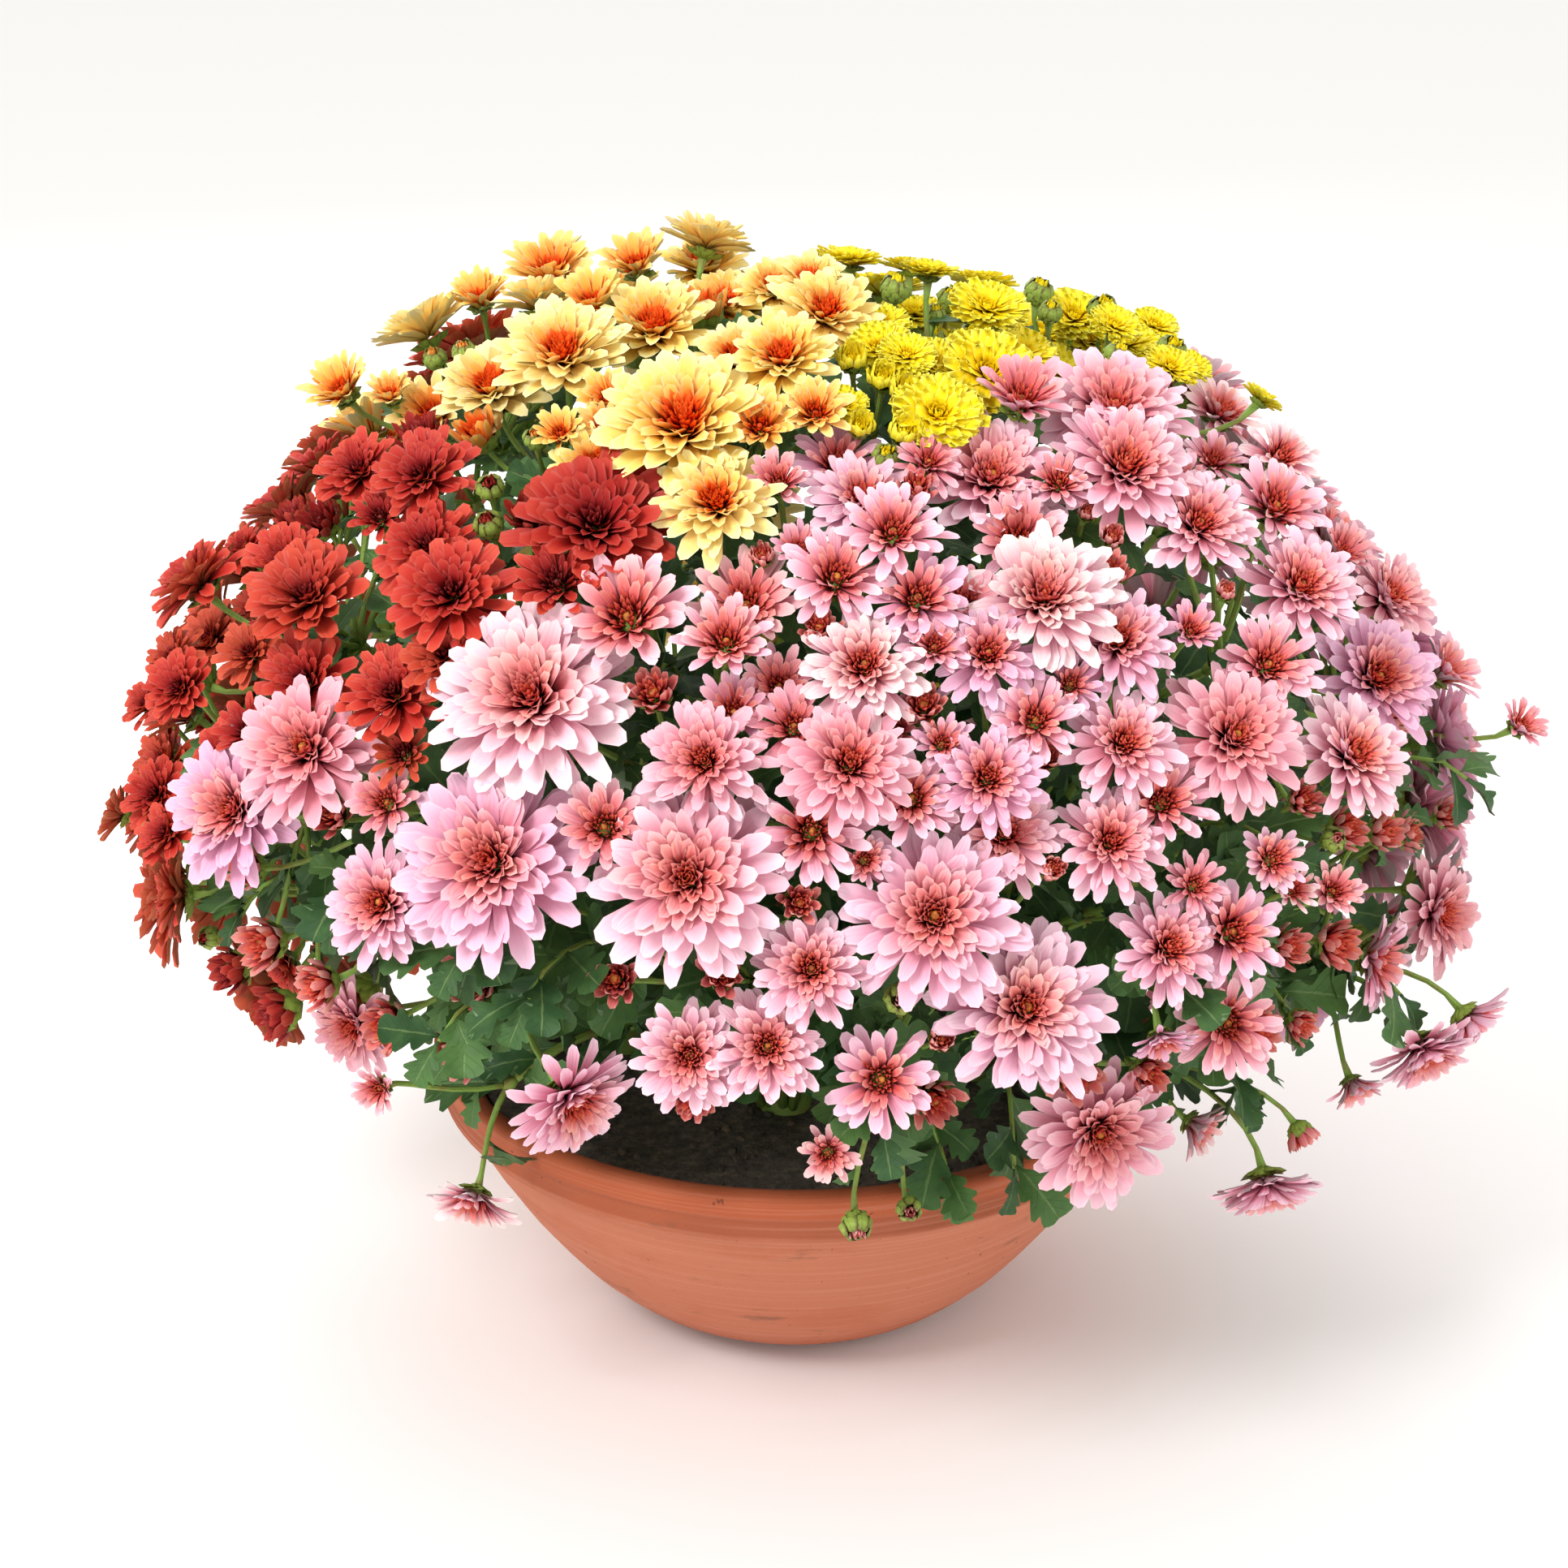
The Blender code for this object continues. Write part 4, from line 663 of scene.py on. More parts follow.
def sight_line(px, py):
    across = (px - PICTURE_MIDDLE) / FOCAL_PIXELS
    up = (PICTURE_MIDDLE - py) / FOCAL_PIXELS
    return (FORWARD + Vector((across, 0.0, 0.0)) + up * UPWARD).normalized()


def point_on_mound(way, share):
    """Where a sight line meets the mound or the bowl, or a share of the way on if it only grazes it."""
    inside = []
    levels = []
    for millimetre in SIGHT_MILLIMETRES:
        point = EYE + MILLIMETRE * millimetre * way
        levels.append((mound_level(point), millimetre))
        if near_bowl(point) and not inside:
            return point
        if levels[-1][0] < 1.0:
            inside.append(point)
    if not inside:
        return EYE + MILLIMETRE * min(levels)[1] * way
    return inside[int(share * len(inside))] if len(inside) < GRAZING_MILLIMETRES else inside[0]


class Head:
    """One flower or bud: its plant, place, facing, radius and form."""

    def __init__(self, plant, centre, facing, radius, form, way, spin):
        self.plant = plant
        self.centre = centre
        self.facing = facing
        self.radius = radius
        self.form = form
        self.way = way
        self.spin = spin
        self.start = centre.copy()

    def foot(self):
        return self.centre - self.facing * (FOOT_BEHIND[self.form] * self.radius)


def scatter(rng, amount):
    return Vector([rng.uniform(-amount, amount) for _ in range(3)])


def seen_heads(rng):
    heads = []
    for plant, rows in SEEN_HEADS.items():
        for px, py, width, form, *given in rows:
            way = sight_line(px, py)
            centre = point_on_mound(way, rng.uniform(0.0, GRAZING_SHARE))
            if given:
                facing = Vector(given[0])
            else:
                lean = LEAN_OUT * mound_outward(centre) + Vector((0.0, 0.0, LEAN_UP))
                lean = lean - LEAN_FRONT[plant] * FORWARD
                facing = (lean + scatter(rng, LEAN_SCATTER)).normalized()
                facing -= max(0.0, SHOWN_LEAST + facing.dot(way)) * way
            spin = rng.uniform(0.0, math.tau)
            heads.append(Head(plant, centre, facing.normalized(), width / 2000.0, form, way, spin))
    return heads


def back_plant(point):
    """The colour of the plant that a place on the far side belongs to."""
    if point.z < BACK_PINK_BELOW and point.x > BACK_PINK_LOW_FROM:
        return "pink"
    if point.x < BACK_RED_TO:
        return "red"
    if point.x > BACK_PINK_HIGH_FROM:
        return "pink"
    return "apricot" if point.x < 0.0 else "yellow"


def back_heads(rng):
    """Heads of the far side, on a spiral round the mound, where no seen head is."""
    heads = []
    for number in range(2 * BACK_HEADS):
        height = 1.0 - (number + 0.5) / BACK_HEADS * BACK_COVER
        if height < BACK_LOWEST:
            break
        centre = MOUND_CENTRE + BACK_SET_IN * spiral_offset(number, height)
        size = rng.random()
        jitter = scatter(rng, LEAN_SCATTER)
        spin = rng.uniform(0.0, math.tau)
        outward = mound_outward(centre)
        if outward.dot(FORWARD) <= BACK_TURNED or centre.y < BACK_EDGE or near_bowl(centre):
            continue
        plant = back_plant(centre)
        small, large = BACK_WIDTHS[plant]
        radius = 0.5 * (small + (large - small) * size)
        facing = (outward + Vector((0.0, 0.0, LEAN_UP)) + jitter).normalized()
        form = "y" if size < BACK_YOUNG_SHARE else "f"
        heads.append(Head(plant, centre, facing, radius, form, -outward, spin))
    return heads


def push_apart(heads):
    """Moves touching heads apart along their sight lines, the farther one away."""
    count = len(heads)
    for _ in range(PUSH_ROUNDS):
        for i in range(count):
            for j in range(i + 1, count):
                one, two = heads[i], heads[j]
                apart = two.centre - one.centre
                need = PUSH_SHARE * (one.radius + two.radius)
                if apart.length_squared > need * need:
                    continue
                short = need - apart.length
                near, far = (one, two) if apart.dot(one.way + two.way) > PUSH_TIE else (two, one)
                near.centre = near.centre - near.way * (PUSH_NEARER * short)
                far.centre = far.centre + far.way * (PUSH_FARTHER * short)
        for head in heads:
            gone = head.centre - head.start
            if gone.length > PUSH_LIMIT:
                head.centre = head.start + gone.normalized() * PUSH_LIMIT
            while near_bowl(head.centre):
                head.centre = head.centre - head.way * MILLIMETRE


def all_heads():
    rng = random.Random(4)
    heads = seen_heads(rng)
    for head in back_heads(rng):
        spaces = [(head.centre - other.centre).length / (head.radius + other.radius) for other in heads]
        if min(spaces) > BACK_CLEAR_SHARE:
            heads.append(head)
    push_apart(heads)
    return heads


def spans_of(heads):
    feet = [head.foot() for head in heads]
    return [max(foot[k] for foot in feet) - min(foot[k] for foot in feet) for k in range(3)]


def group_heads(heads, count):
    """Parts a plant's heads into close groups: the widest, or one too full, is cut across its longest way."""
    groups = [heads]
    while len(groups) < count:
        groups.sort(key=lambda group: (len(group) > SPRAY_MOST, max(spans_of(group))))
        widest = groups.pop()
        spans = spans_of(widest)
        longest = spans.index(max(spans))
        middle = sum(head.foot()[longest] for head in widest) / len(widest)
        groups.append([head for head in widest if head.foot()[longest] < middle])
        groups.append([head for head in widest if head.foot()[longest] >= middle])
    return groups


class Spray:
    """A fork and the heads that it carries, with the curve of the stem into it."""

    def __init__(self, name, plant, heads):
        self.name = name
        self.plant = plant
        self.heads = heads
        feet = sum((head.foot() for head in heads), Vector()) / len(heads)
        facing = sum((head.facing for head in heads), Vector()).normalized()
        crown = Vector((*CROWNS[plant], SOIL_TOP + STEM_AIM_HEIGHT))
        inward = (FORK_TO_CROWN * (crown - feet).normalized() - FORK_BEHIND_FACES * facing).normalized()
        self.fork = feet + FORK_DEPTH * inward
        if math.hypot(self.fork.x, self.fork.y) < BOWL_CLEAR_RADIUS:
            self.fork.z = max(self.fork.z, RIM_TOP + FORK_OVER_RIM)
        start = Vector((crown.x, crown.y, SOIL_TOP + STEM_START_HEIGHT))
        side = self.fork - start
        side.z = 0.0
        flatness = side.length / (side.length + self.fork.z - start.z)
        spread = STEM_LEAST_SPREAD + (1.0 - STEM_LEAST_SPREAD) * flatness
        start = start + side.normalized() * (spread * CROWN_RADIUS)
        length = (self.fork - start).length
        outward = (feet - self.fork).normalized()
        back = STEM_LATE_OUT * outward + STEM_LATE_SIDE * side.normalized()
        late = self.fork - back * (STEM_LATE * length)
        if side.length > STEM_CLEARS_RIM_FROM:
            late.z = max(late.z, RIM_TOP + STEM_OVER_RIM)
        early = start + Vector((0.0, 0.0, STEM_RISE * length)) + STEM_EARLY_SIDE * side
        self.stem = (start, early, late, self.fork)
        self.way = (self.fork - late).normalized()


def plant_of(head):
    """The plant that bears a head: there are two pink ones, and the nearer crown has it."""
    if head.plant != "pink":
        return head.plant
    near, far = [(head.centre.xy - Vector(CROWNS[name])).length for name in ("pink_front", "pink_right")]
    return "pink_front" if near < far else "pink_right"


def make_sprays(heads):
    """Groups each plant's heads into sprays, numbered from left to right."""
    sprays = []
    for plant, count in SPRAYS.items():
        groups = group_heads([head for head in heads if plant_of(head) == plant], count)
        groups.sort(key=lambda group: sum(head.centre.x for head in group) / len(group))
        for number, group in enumerate(groups, 1):
            sprays.append(Spray(f"{plant}_spray_{number:02d}", plant, group))
    return sprays


all_sprays = make_sprays(all_heads())

FILLERS = 60
FILLER_PLACES = 620
FILLER_COVER = 1.55
FILLER_SET_IN = {"apricot": 0.92, "yellow": 0.975, "red": 0.92, "pink": 0.92}
# The form and the least and greatest radius of the added heads, at the front and round the sides
FRONT_FILLERS = {
    "apricot": ("h", 0.010, 0.015), "yellow": ("b", 0.005, 0.0065), "red": ("h", 0.010, 0.015),
    "pink": ("h", 0.009, 0.014),
}
SIDE_FILLERS = {
    "apricot": ("y", 0.015, 0.020), "yellow": ("f", 0.011, 0.015), "red": ("y", 0.015, 0.020),
    "pink": ("y", 0.016, 0.023),
}
FILLER_SIDE_FROM = -0.36
FILLER_APART = 0.030
FILLER_LOWEST = 0.20
FILLER_FARTHEST_BACK = 0.40


def add_fillers():
    """Adds young heads, or buds at the front of the yellow plant, in the widest gaps between heads."""
    rng = random.Random(8)
    heads = [(head, spray) for spray in all_sprays for head in spray.heads]
    places = []
    for number in range(FILLER_PLACES):
        offset = spiral_offset(number, 1.0 - (number + 0.5) / FILLER_PLACES * FILLER_COVER)
        surface = MOUND_CENTRE + offset
        hidden = mound_outward(surface).dot(FORWARD) > FILLER_FARTHEST_BACK
        if hidden or near_bowl(surface) or surface.z < FILLER_LOWEST:
            continue
        gaps = [(head.centre - surface).length - head.radius for head, _ in heads]
        places.append((min(gaps), gaps.index(min(gaps)), offset))
    places.sort(key=lambda place: -place[0])
    found = []
    for _, nearest, offset in places:
        plant, spray = heads[nearest][0].plant, heads[nearest][1]
        centre = MOUND_CENTRE + FILLER_SET_IN[plant] * offset
        if any((centre - other).length < FILLER_APART for other in found):
            continue
        if len(found) == FILLERS:
            break
        found.append(centre)
        outward = mound_outward(centre)
        facing = (outward + Vector((0.0, 0.0, LEAN_UP)) + scatter(rng, LEAN_SCATTER)).normalized()
        kinds = SIDE_FILLERS if outward.dot(FORWARD) > FILLER_SIDE_FROM else FRONT_FILLERS
        form, small, large = kinds[plant]
        radius = rng.uniform(small, large)
        spray.heads.append(Head(plant, centre, facing, radius, form, -outward, rng.uniform(0.0, math.tau)))


add_fillers()


# Stems, leaves and bracts are soft and green: ribbed yellow-green stems, and dull dark green
# leaves with rounded lobes, a paler rib and veins, and a greyer underside.
STEM_TURNS = 7
LEAF_ROWS = (
    (0.00, 0.030), (0.10, 0.045), (0.19, 0.13), (0.27, 0.27), (0.34, 0.33), (0.40, 0.29), (0.45, 0.19),
    (0.51, 0.30), (0.58, 0.40), (0.64, 0.37), (0.69, 0.23), (0.76, 0.27), (0.83, 0.28), (0.90, 0.21),
    (0.96, 0.12),
)
SMALL_LEAF_ROWS = (
    (0.00, 0.05), (0.15, 0.07), (0.32, 0.27), (0.43, 0.18), (0.56, 0.32), (0.68, 0.19), (0.82, 0.23),
    (0.93, 0.13),
)
LEAF_THICK = 0.0007
LEAF_KEEL = 0.012
LEAF_HALF_SHARE = 0.52
LEAF_FOLD = (0.10, 0.42)
LEAF_WAVE = (0.02, 0.05)
LEAF_WAVES = (9.0, 16.0)
LEAF_ARCH = (0.25, 0.95)
LEAF_WIDTHS = (0.80, 1.0)
LEAF_SWEEP = 0.42
LEAF_TIP_LIFT = 0.3
STEM_HELPERS = (np.array((0.31, 0.95, 0.05)), np.array((0.95, 0.1, 0.3)))
STEM_KIND = 1.0
BRACT_KIND = 0.5
LEAF_KIND = 0.0


def normalised(vectors):
    return vectors / np.linalg.norm(vectors, axis=-1, keepdims=True)


def curve_points(bends, count):
    """Points along the smooth curve that three or four places bend."""
    share = np.linspace(0.0, 1.0, count)[:, None]
    last = len(bends) - 1
    weights = [math.comb(last, k) * (1.0 - share) ** (last - k) * share ** k for k in range(last + 1)]
    return sum(weight * np.array(bend) for weight, bend in zip(weights, bends))


def add_stem(growth, path, radii, rng, sides=STEM_TURNS, finish=0):
    """A round stem along a path, closed at both ends."""
    ways = normalised(np.gradient(path, axis=0))
    helper = STEM_HELPERS[0] if abs(ways[0][1]) < 0.9 else STEM_HELPERS[1]
    across = normalised(np.cross(ways, helper))
    over = np.cross(ways, across)
    angles = (np.arange(sides) * math.tau / sides)[None, :, None]
    ring = np.cos(angles) * across[:, None, :] + np.sin(angles) * over[:, None, :]
    points = (path[:, None, :] + np.asarray(radii)[:, None, None] * ring).reshape(-1, 3)
    first = np.arange(1, sides - 1)
    last = (len(path) - 1) * sides
    foot_cap = np.stack((np.zeros_like(first), first + 1, first), axis=-1)
    tip_cap = np.stack((np.zeros_like(first) + last, first + last, first + 1 + last), axis=-1)
    quads, caps = band_quads(len(path), sides), np.concatenate((foot_cap, tip_cap))
    along = np.repeat(np.linspace(0.0, 1.0, len(path)), sides)
    angles = angles.ravel()
    part = np.stack((np.full_like(along, STEM_KIND), along, np.tile(angles / math.tau, len(path))), axis=-1)
    growth.add(points, [quads, caps], part, (rng.random(), rng.random(), 0.0), finish=finish)


def add_leaf(growth, root, way, face, length, rng, rows=LEAF_ROWS, finish=0):
    """A lobed leaf on its stalk: a thin closed blade that arches along its rib and waves at its edge."""
    rows = np.array(rows)
    along, half = rows[:, 0], rows[:, 1] * length * rng.uniform(*LEAF_WIDTHS)
    root, way, face = np.array(root), np.array(way), np.array(face)
    face = normalised(face - way * face.dot(way))
    side = np.cross(face, way)
    turn = along * rng.uniform(*LEAF_ARCH)
    step = np.diff(along, prepend=0.0) * length
    forward = np.cumsum(np.cos(turn) * step)
    sink = np.cumsum(np.sin(turn) * step)
    rib = root + forward[:, None] * way - sink[:, None] * face
    ahead = np.cos(turn)[:, None] * way - np.sin(turn)[:, None] * face
    up = np.cos(turn)[:, None] * face + np.sin(turn)[:, None] * way
    fold = rng.uniform(*LEAF_FOLD)
    wave = rng.uniform(*LEAF_WAVE) * length * np.sin(along * rng.uniform(*LEAF_WAVES) + rng.uniform(0, 6.0))
    columns = []
    for hand, share in ((-1.0, 1.0), (-1.0, LEAF_HALF_SHARE), (1.0, LEAF_HALF_SHARE), (1.0, 1.0)):
        lift = fold * share * half + hand * wave * share * share
        outward = hand * share * half[:, None] * side
        columns.append(rib + outward + LEAF_SWEEP * share * half[:, None] * ahead + lift[:, None] * up)
    under = rib - (LEAF_THICK + LEAF_KEEL * length * (1.0 - along))[:, None] * up
    count = len(along)
    grid = np.stack((*columns[:2], rib, *columns[2:], under), axis=1).reshape(-1, 3)
    tip = rib[-1] + ahead[-1] * (1.0 - along[-1]) * length + LEAF_TIP_LIFT * fold * half[-1] * up[-1]
    points = np.vstack((grid, tip))
    k = np.arange(count - 1) * 6
    n = k + 6
    top = [np.stack((k + a, n + a, n + a + 1, k + a + 1), axis=-1) for a in range(4)]
    low = [np.stack((k, k + 5, n + 5, n), axis=-1), np.stack((k + 5, k + 4, n + 4, n + 5), axis=-1)]
    end, last = 6 * count, 6 * (count - 1)
    tips = [(last + a, end, last + a + 1) for a in range(4)]
    tips += [(last, last + 5, end), (last + 5, last + 4, end)]
    base = [(0, 1, 2), (0, 2, 5), (5, 2, 4), (2, 3, 4)]
    quads = np.concatenate(top + low)
    quad_under = np.repeat((0.0, 1.0), (4 * len(k), 2 * len(k)))
    tris = np.array(tips + base)
    tri_under = np.repeat((0.0, 1.0), (4, 6))
    across = np.tile((-1.0, -LEAF_HALF_SHARE, 0.0, LEAF_HALF_SHARE, 1.0, 0.0), count)
    part = np.stack((np.full(6 * count, LEAF_KIND), np.repeat(along, 6), across), axis=-1)
    part = np.vstack((part, (LEAF_KIND, 1.0, 0.0)))
    margin = np.zeros(len(points), bool)
    margin[0:6 * count:6] = margin[4:6 * count:6] = margin[-1] = True
    growth.add(points, [quads, tris], part, (rng.random(), rng.random(), rng.random()),
               margin, [quad_under, tri_under], finish)


LEAF_DARK = tint(44, 80, 40)
LEAF_FRESH = tint(98, 138, 66)
LEAF_RIB = tint(134, 162, 100)
LEAF_BACK = tint(112, 140, 98)
STEM_GREEN = tint(134, 166, 72)
STEM_RED = tint(150, 104, 66)
BRACT_GREEN = tint(158, 182, 78)
BRACT_EDGE = tint(96, 84, 40)
VEIN_ROWS = 7.0
VEIN_SLANT = 0.16
STEM_RIBS = 44.0

foliage, start = new_material("foliage", Specular_IOR_Level=0.35)
kind, along, across = start.attribute("part").axes()
leaf_draw = start.attribute("draw").axes()[0]
under = start.attribute("under", "Fac")
mottle = start.noise(110.0, 4.0, 0.6)
blade = (leaf_draw * 0.55 + (mottle - 0.5) * 0.9).mixed(LEAF_DARK, LEAF_FRESH)
rib = 1.0 - abs(across).step(0.02, 0.10)
vein_row = ((along - abs(across) * VEIN_SLANT) * VEIN_ROWS).fraction()
vein = 1.0 - abs(vein_row - 0.5).step(0.01, 0.05)
edge = abs(across).step(0.93, 1.0)
blade = (rib * 0.42 + vein * 0.10 + edge * 0.16).mixed(blade, LEAF_RIB)
blade = (under * 0.85).mixed(blade, LEAF_BACK)
bract = ((abs(across).step(0.45, 1.0) + along.step(0.75, 1.0)) * 0.8).mixed(BRACT_GREEN, BRACT_EDGE)
stem = ((mottle - 0.45).step(0.0, 0.25) * 0.5).mixed(STEM_GREEN, STEM_RED)
green = kind.step(0.2, 0.3).mixed(blade, bract)
green = kind.step(0.7, 0.8).mixed(green, stem)
ribs = (across * STEM_RIBS).sine() * kind.step(0.7, 0.8)
feed(foliage, Base_Color=green, Roughness=0.42 + 0.3 * mottle,
     Normal=((rib + vein) * -0.5 + mottle * 0.5 + ribs * 0.2).bump(0.0006, 0.7))


# Pink flowers: each head is a spiral of many soft tongue-shaped florets, long, pale and flat at the
# rim, shorter, cupped and more salmon further in, with a heart of short crimson ones and a small eye.
# Each outline gives a floret's width at shares of its length, as shares of its greatest width.
LONG_PETAL = ((0.00, 0.40), (0.42, 0.76), (0.79, 1.00), (0.95, 0.62))
POINTED_PETAL = ((0.00, 0.42), (0.38, 0.80), (0.72, 1.00), (0.93, 0.62))
SPOON_PETAL = ((0.00, 0.36), (0.38, 0.68), (0.74, 1.00), (0.94, 0.80))
MIDDLE_PETAL = ((0.00, 0.42), (0.60, 1.00), (0.90, 0.76))
SHORT_PETAL = ((0.00, 0.55), (0.68, 1.00))
PETAL_THICK = 0.0004
EYE_RING = 1.3
SPREAD = {"pink": 1.09, "apricot": 1.14, "red": 1.18, "yellow": 1.22}
EYE_TURNS = 7
EYE_PROFILE = ((0.7, -1.0), (1.0, 0.0), (0.75, 0.35), (0.3, 0.5))
BRUSH_CLOSED_TO = 0.0085
# Near-white for the florets' margins: partly their paler edge, partly a painted highlight along them
PETAL_EDGE_AND_HIGHLIGHT = (1.0, 0.97, 0.93, 1.0)
PETAL_BLEMISH = tint(150, 92, 60)
PETAL_STREAKS = 12.0
STALK_THICK = 0.0013
STALK_LEAST = 0.8
STALK_GROWTH = 10.0
STALK_ROWS = 7
STALK_SIDES = 6
STALK_BEND = 0.55
STALK_EARLY = 0.25
STALK_INTO_HEAD = 0.1
STALK_FOOT = 1.15
STALK_NECK = 1.8
STALK_NECK_SHARE = 0.10
STALK_LEAVES_AT = (0.25, 0.75)
STALK_LEAF_OUT = 0.9
STALK_LEAF_UP = 0.35
STALK_LEAF_LENGTHS = (0.016, 0.030)
STALK_LEAF_REACH = 0.99
BUD_LEAF_SHARE = 0.6
KNOT_REACH = (-0.004, 0.003)
KNOT_RADII = (0.0022, 0.0030, 0.0028, 0.0012)
KNOT_SIDES = 8
PINK_FULL_FROM = 0.0225
PINK_LARGE_FROM = 0.030
PINK_HEART = ((0.74, 0.95), 0.16)
PINK_LARGE_HEART = ((0.60, 0.86), 0.13)
PINK_OPEN_RINGS = ((0.05, 0.30), (0.50, 0.66), (0.80, 0.95))
PINK_YOUNG_RINGS = ((0.22, 0.50), (0.62, 0.72), (0.80, 0.95))
FADED_PINK = tint(253, 238, 230)
ROSY_PINK = tint(232, 118, 124)
LILAC_PINK = tint(226, 168, 208)
HEART_CLEAR = 0.42
HEART_FORWARD = 0.15
HEART_CHECKS = (0.55, 0.70, 0.85, 1.00)
# How unevenly the florets of a ring grow: turns in radians, rises in degrees, and the rest as shares
UNEVEN = {
    "turn": 0.09, "length": 0.055, "low": 4.0, "high": 9.0, "width": 0.08, "cup": 0.10, "roll": 0.20,
    "yaw": 0.07,
}

open_heads = [head for spray in all_sprays for head in spray.heads]
for head in open_heads:
    head.radius *= SPREAD[head.plant]
heart_places = np.array([head.centre + HEART_FORWARD * head.radius * head.facing for head in open_heads])
heart_radii = np.array([HEART_CLEAR * head.radius for head in open_heads])


def head_frame(head):
    """The head's own axes as rows: two across it and the way that it faces."""
    across = head.facing.orthogonal().normalized()
    return np.array((across, head.facing.cross(across), head.facing))


def clear_of_hearts(head, plan):
    """Leaves out the florets that would end or pass in the heart of another head."""
    slope = 0.5 * (plan["low"] + plan["high"])
    clear = np.ones(len(slope), bool)
    others = np.array([other is not head for other in open_heads])
    for share in HEART_CHECKS:
        out = plan["out"] + share * plan["length"] * np.cos(slope)
        rise = plan["up"] + share * plan["length"] * np.sin(slope)
        places = np.stack((out * np.cos(plan["turn"]), out * np.sin(plan["turn"]), rise), axis=-1)
        places = places @ head_frame(head) + np.array(head.centre)
        distance = np.linalg.norm(places[:, None] - heart_places[None], axis=-1)
        clear &= ~((distance < heart_radii) & others).any(axis=1)
    return {key: value[clear] if isinstance(value, np.ndarray) else value for key, value in plan.items()}


def add_petals(growth, head, shape, plan, blunt=1.0, finish=0):
    """Adds florets of one outline to a head. The plan holds an array for each of their measures."""
    shape = np.array(shape)
    steps, wide = shape[:, 0], shape[:, 1]
    rows = np.append(steps, blunt)
    count = len(plan["turn"])
    low, high = plan["low"][:, None], plan["high"][:, None]
    slope = low + (high - low) * rows[None, :] ** 0.8
    middle = 0.5 * (slope[:, 1:] + slope[:, :-1])
    reach = plan["length"][:, None] * np.diff(rows)[None, :]
    zero = np.zeros((count, 1))
    out = plan["out"][:, None] + np.concatenate((zero, np.cumsum(np.cos(middle) * reach, axis=1)), axis=1)
    rise = plan["up"][:, None] + np.concatenate((zero, np.cumsum(np.sin(middle) * reach, axis=1)), axis=1)
    turn = plan["turn"]
    radial = np.stack((np.cos(turn), np.sin(turn), np.zeros(count)), axis=-1)[:, None, :]
    tangent = np.stack((-np.sin(turn), np.cos(turn), np.zeros(count)), axis=-1)[:, None, :]
    lift = np.array((0.0, 0.0, 1.0))
    swerve = plan["yaw"][:, None] * rows[None, :] ** 2 * plan["length"][:, None]
    spine = out[..., None] * radial + rise[..., None] * lift + swerve[..., None] * tangent
    normal = -np.sin(slope)[..., None] * radial + np.cos(slope)[..., None] * lift
    roll = plan["roll"][:, None, None]
    side = np.cos(roll) * tangent + np.sin(roll) * normal
    face = np.cos(roll) * normal - np.sin(roll) * tangent
    half = (plan["width"][:, None] * wide[None, :])[..., None] * 0.5
    cup = plan["cup"][:, None, None]
    body, body_face = spine[:, :-1], face[:, :-1]
    left = body - half * side[:, :-1] + cup * half * body_face
    right = body + half * side[:, :-1] + cup * half * body_face
    below = body - (PETAL_THICK + 0.10 * half) * body_face
    number = len(steps)
    grid = np.stack((left, body, right, below), axis=2).reshape(count, 4 * number, 3)
    points = np.concatenate((grid, spine[:, -1:]), axis=1)
    each = 4 * number + 1
    k = np.arange(number - 1) * 4
    n = k + 4
    quads = np.concatenate((
        np.stack((k, n, n + 1, k + 1), axis=-1), np.stack((k + 1, n + 1, n + 2, k + 2), axis=-1),
        np.stack((k, k + 3, n + 3, n), axis=-1), np.stack((k + 3, k + 2, n + 2, n + 3), axis=-1),
        [(0, 1, 2, 3)]))
    last, end = 4 * (number - 1), 4 * number
    tips = [(last, end, last + 1), (last + 1, end, last + 2)]
    tips += [(last, last + 3, end), (last + 3, last + 2, end)]
    tips = np.array(tips)
    quad_under = np.repeat((0.0, 1.0), (2 * len(k), 2 * len(k) + 1))
    tip_under = np.repeat((0.0, 1.0), (2, 2))
    shift = (np.arange(count) * each)[:, None, None]
    quads = (quads[None] + shift).reshape(-1, 4)
    tips = (tips[None] + shift).reshape(-1, 3)
    along = np.append(np.repeat(steps, 4), 1.0)
    across = np.append(np.tile((-1.0, 0.0, 1.0, 0.0), number), 0.0)
    part = np.empty((count, each, 3))
    part[..., 0] = plan["ring"][:, None]
    part[..., 1] = along
    part[..., 2] = across
    draw = np.empty((count, each, 3))
    draw[..., 0] = plan["bloom"]
    draw[..., 1] = plan["chance"][:, None]
    draw[..., 2] = plan["age"]
    margin = np.zeros((count, each), bool)
    margin[:, 0:4 * number:4] = margin[:, 2:4 * number:4] = margin[:, -1] = True
    points = points.reshape(-1, 3) @ head_frame(head) + np.array(head.centre)
    growth.add(points, [quads, tips], part.reshape(-1, 3), draw.reshape(-1, 3), margin.ravel(),
               [np.tile(quad_under, count), np.tile(tip_under, count)], finish)


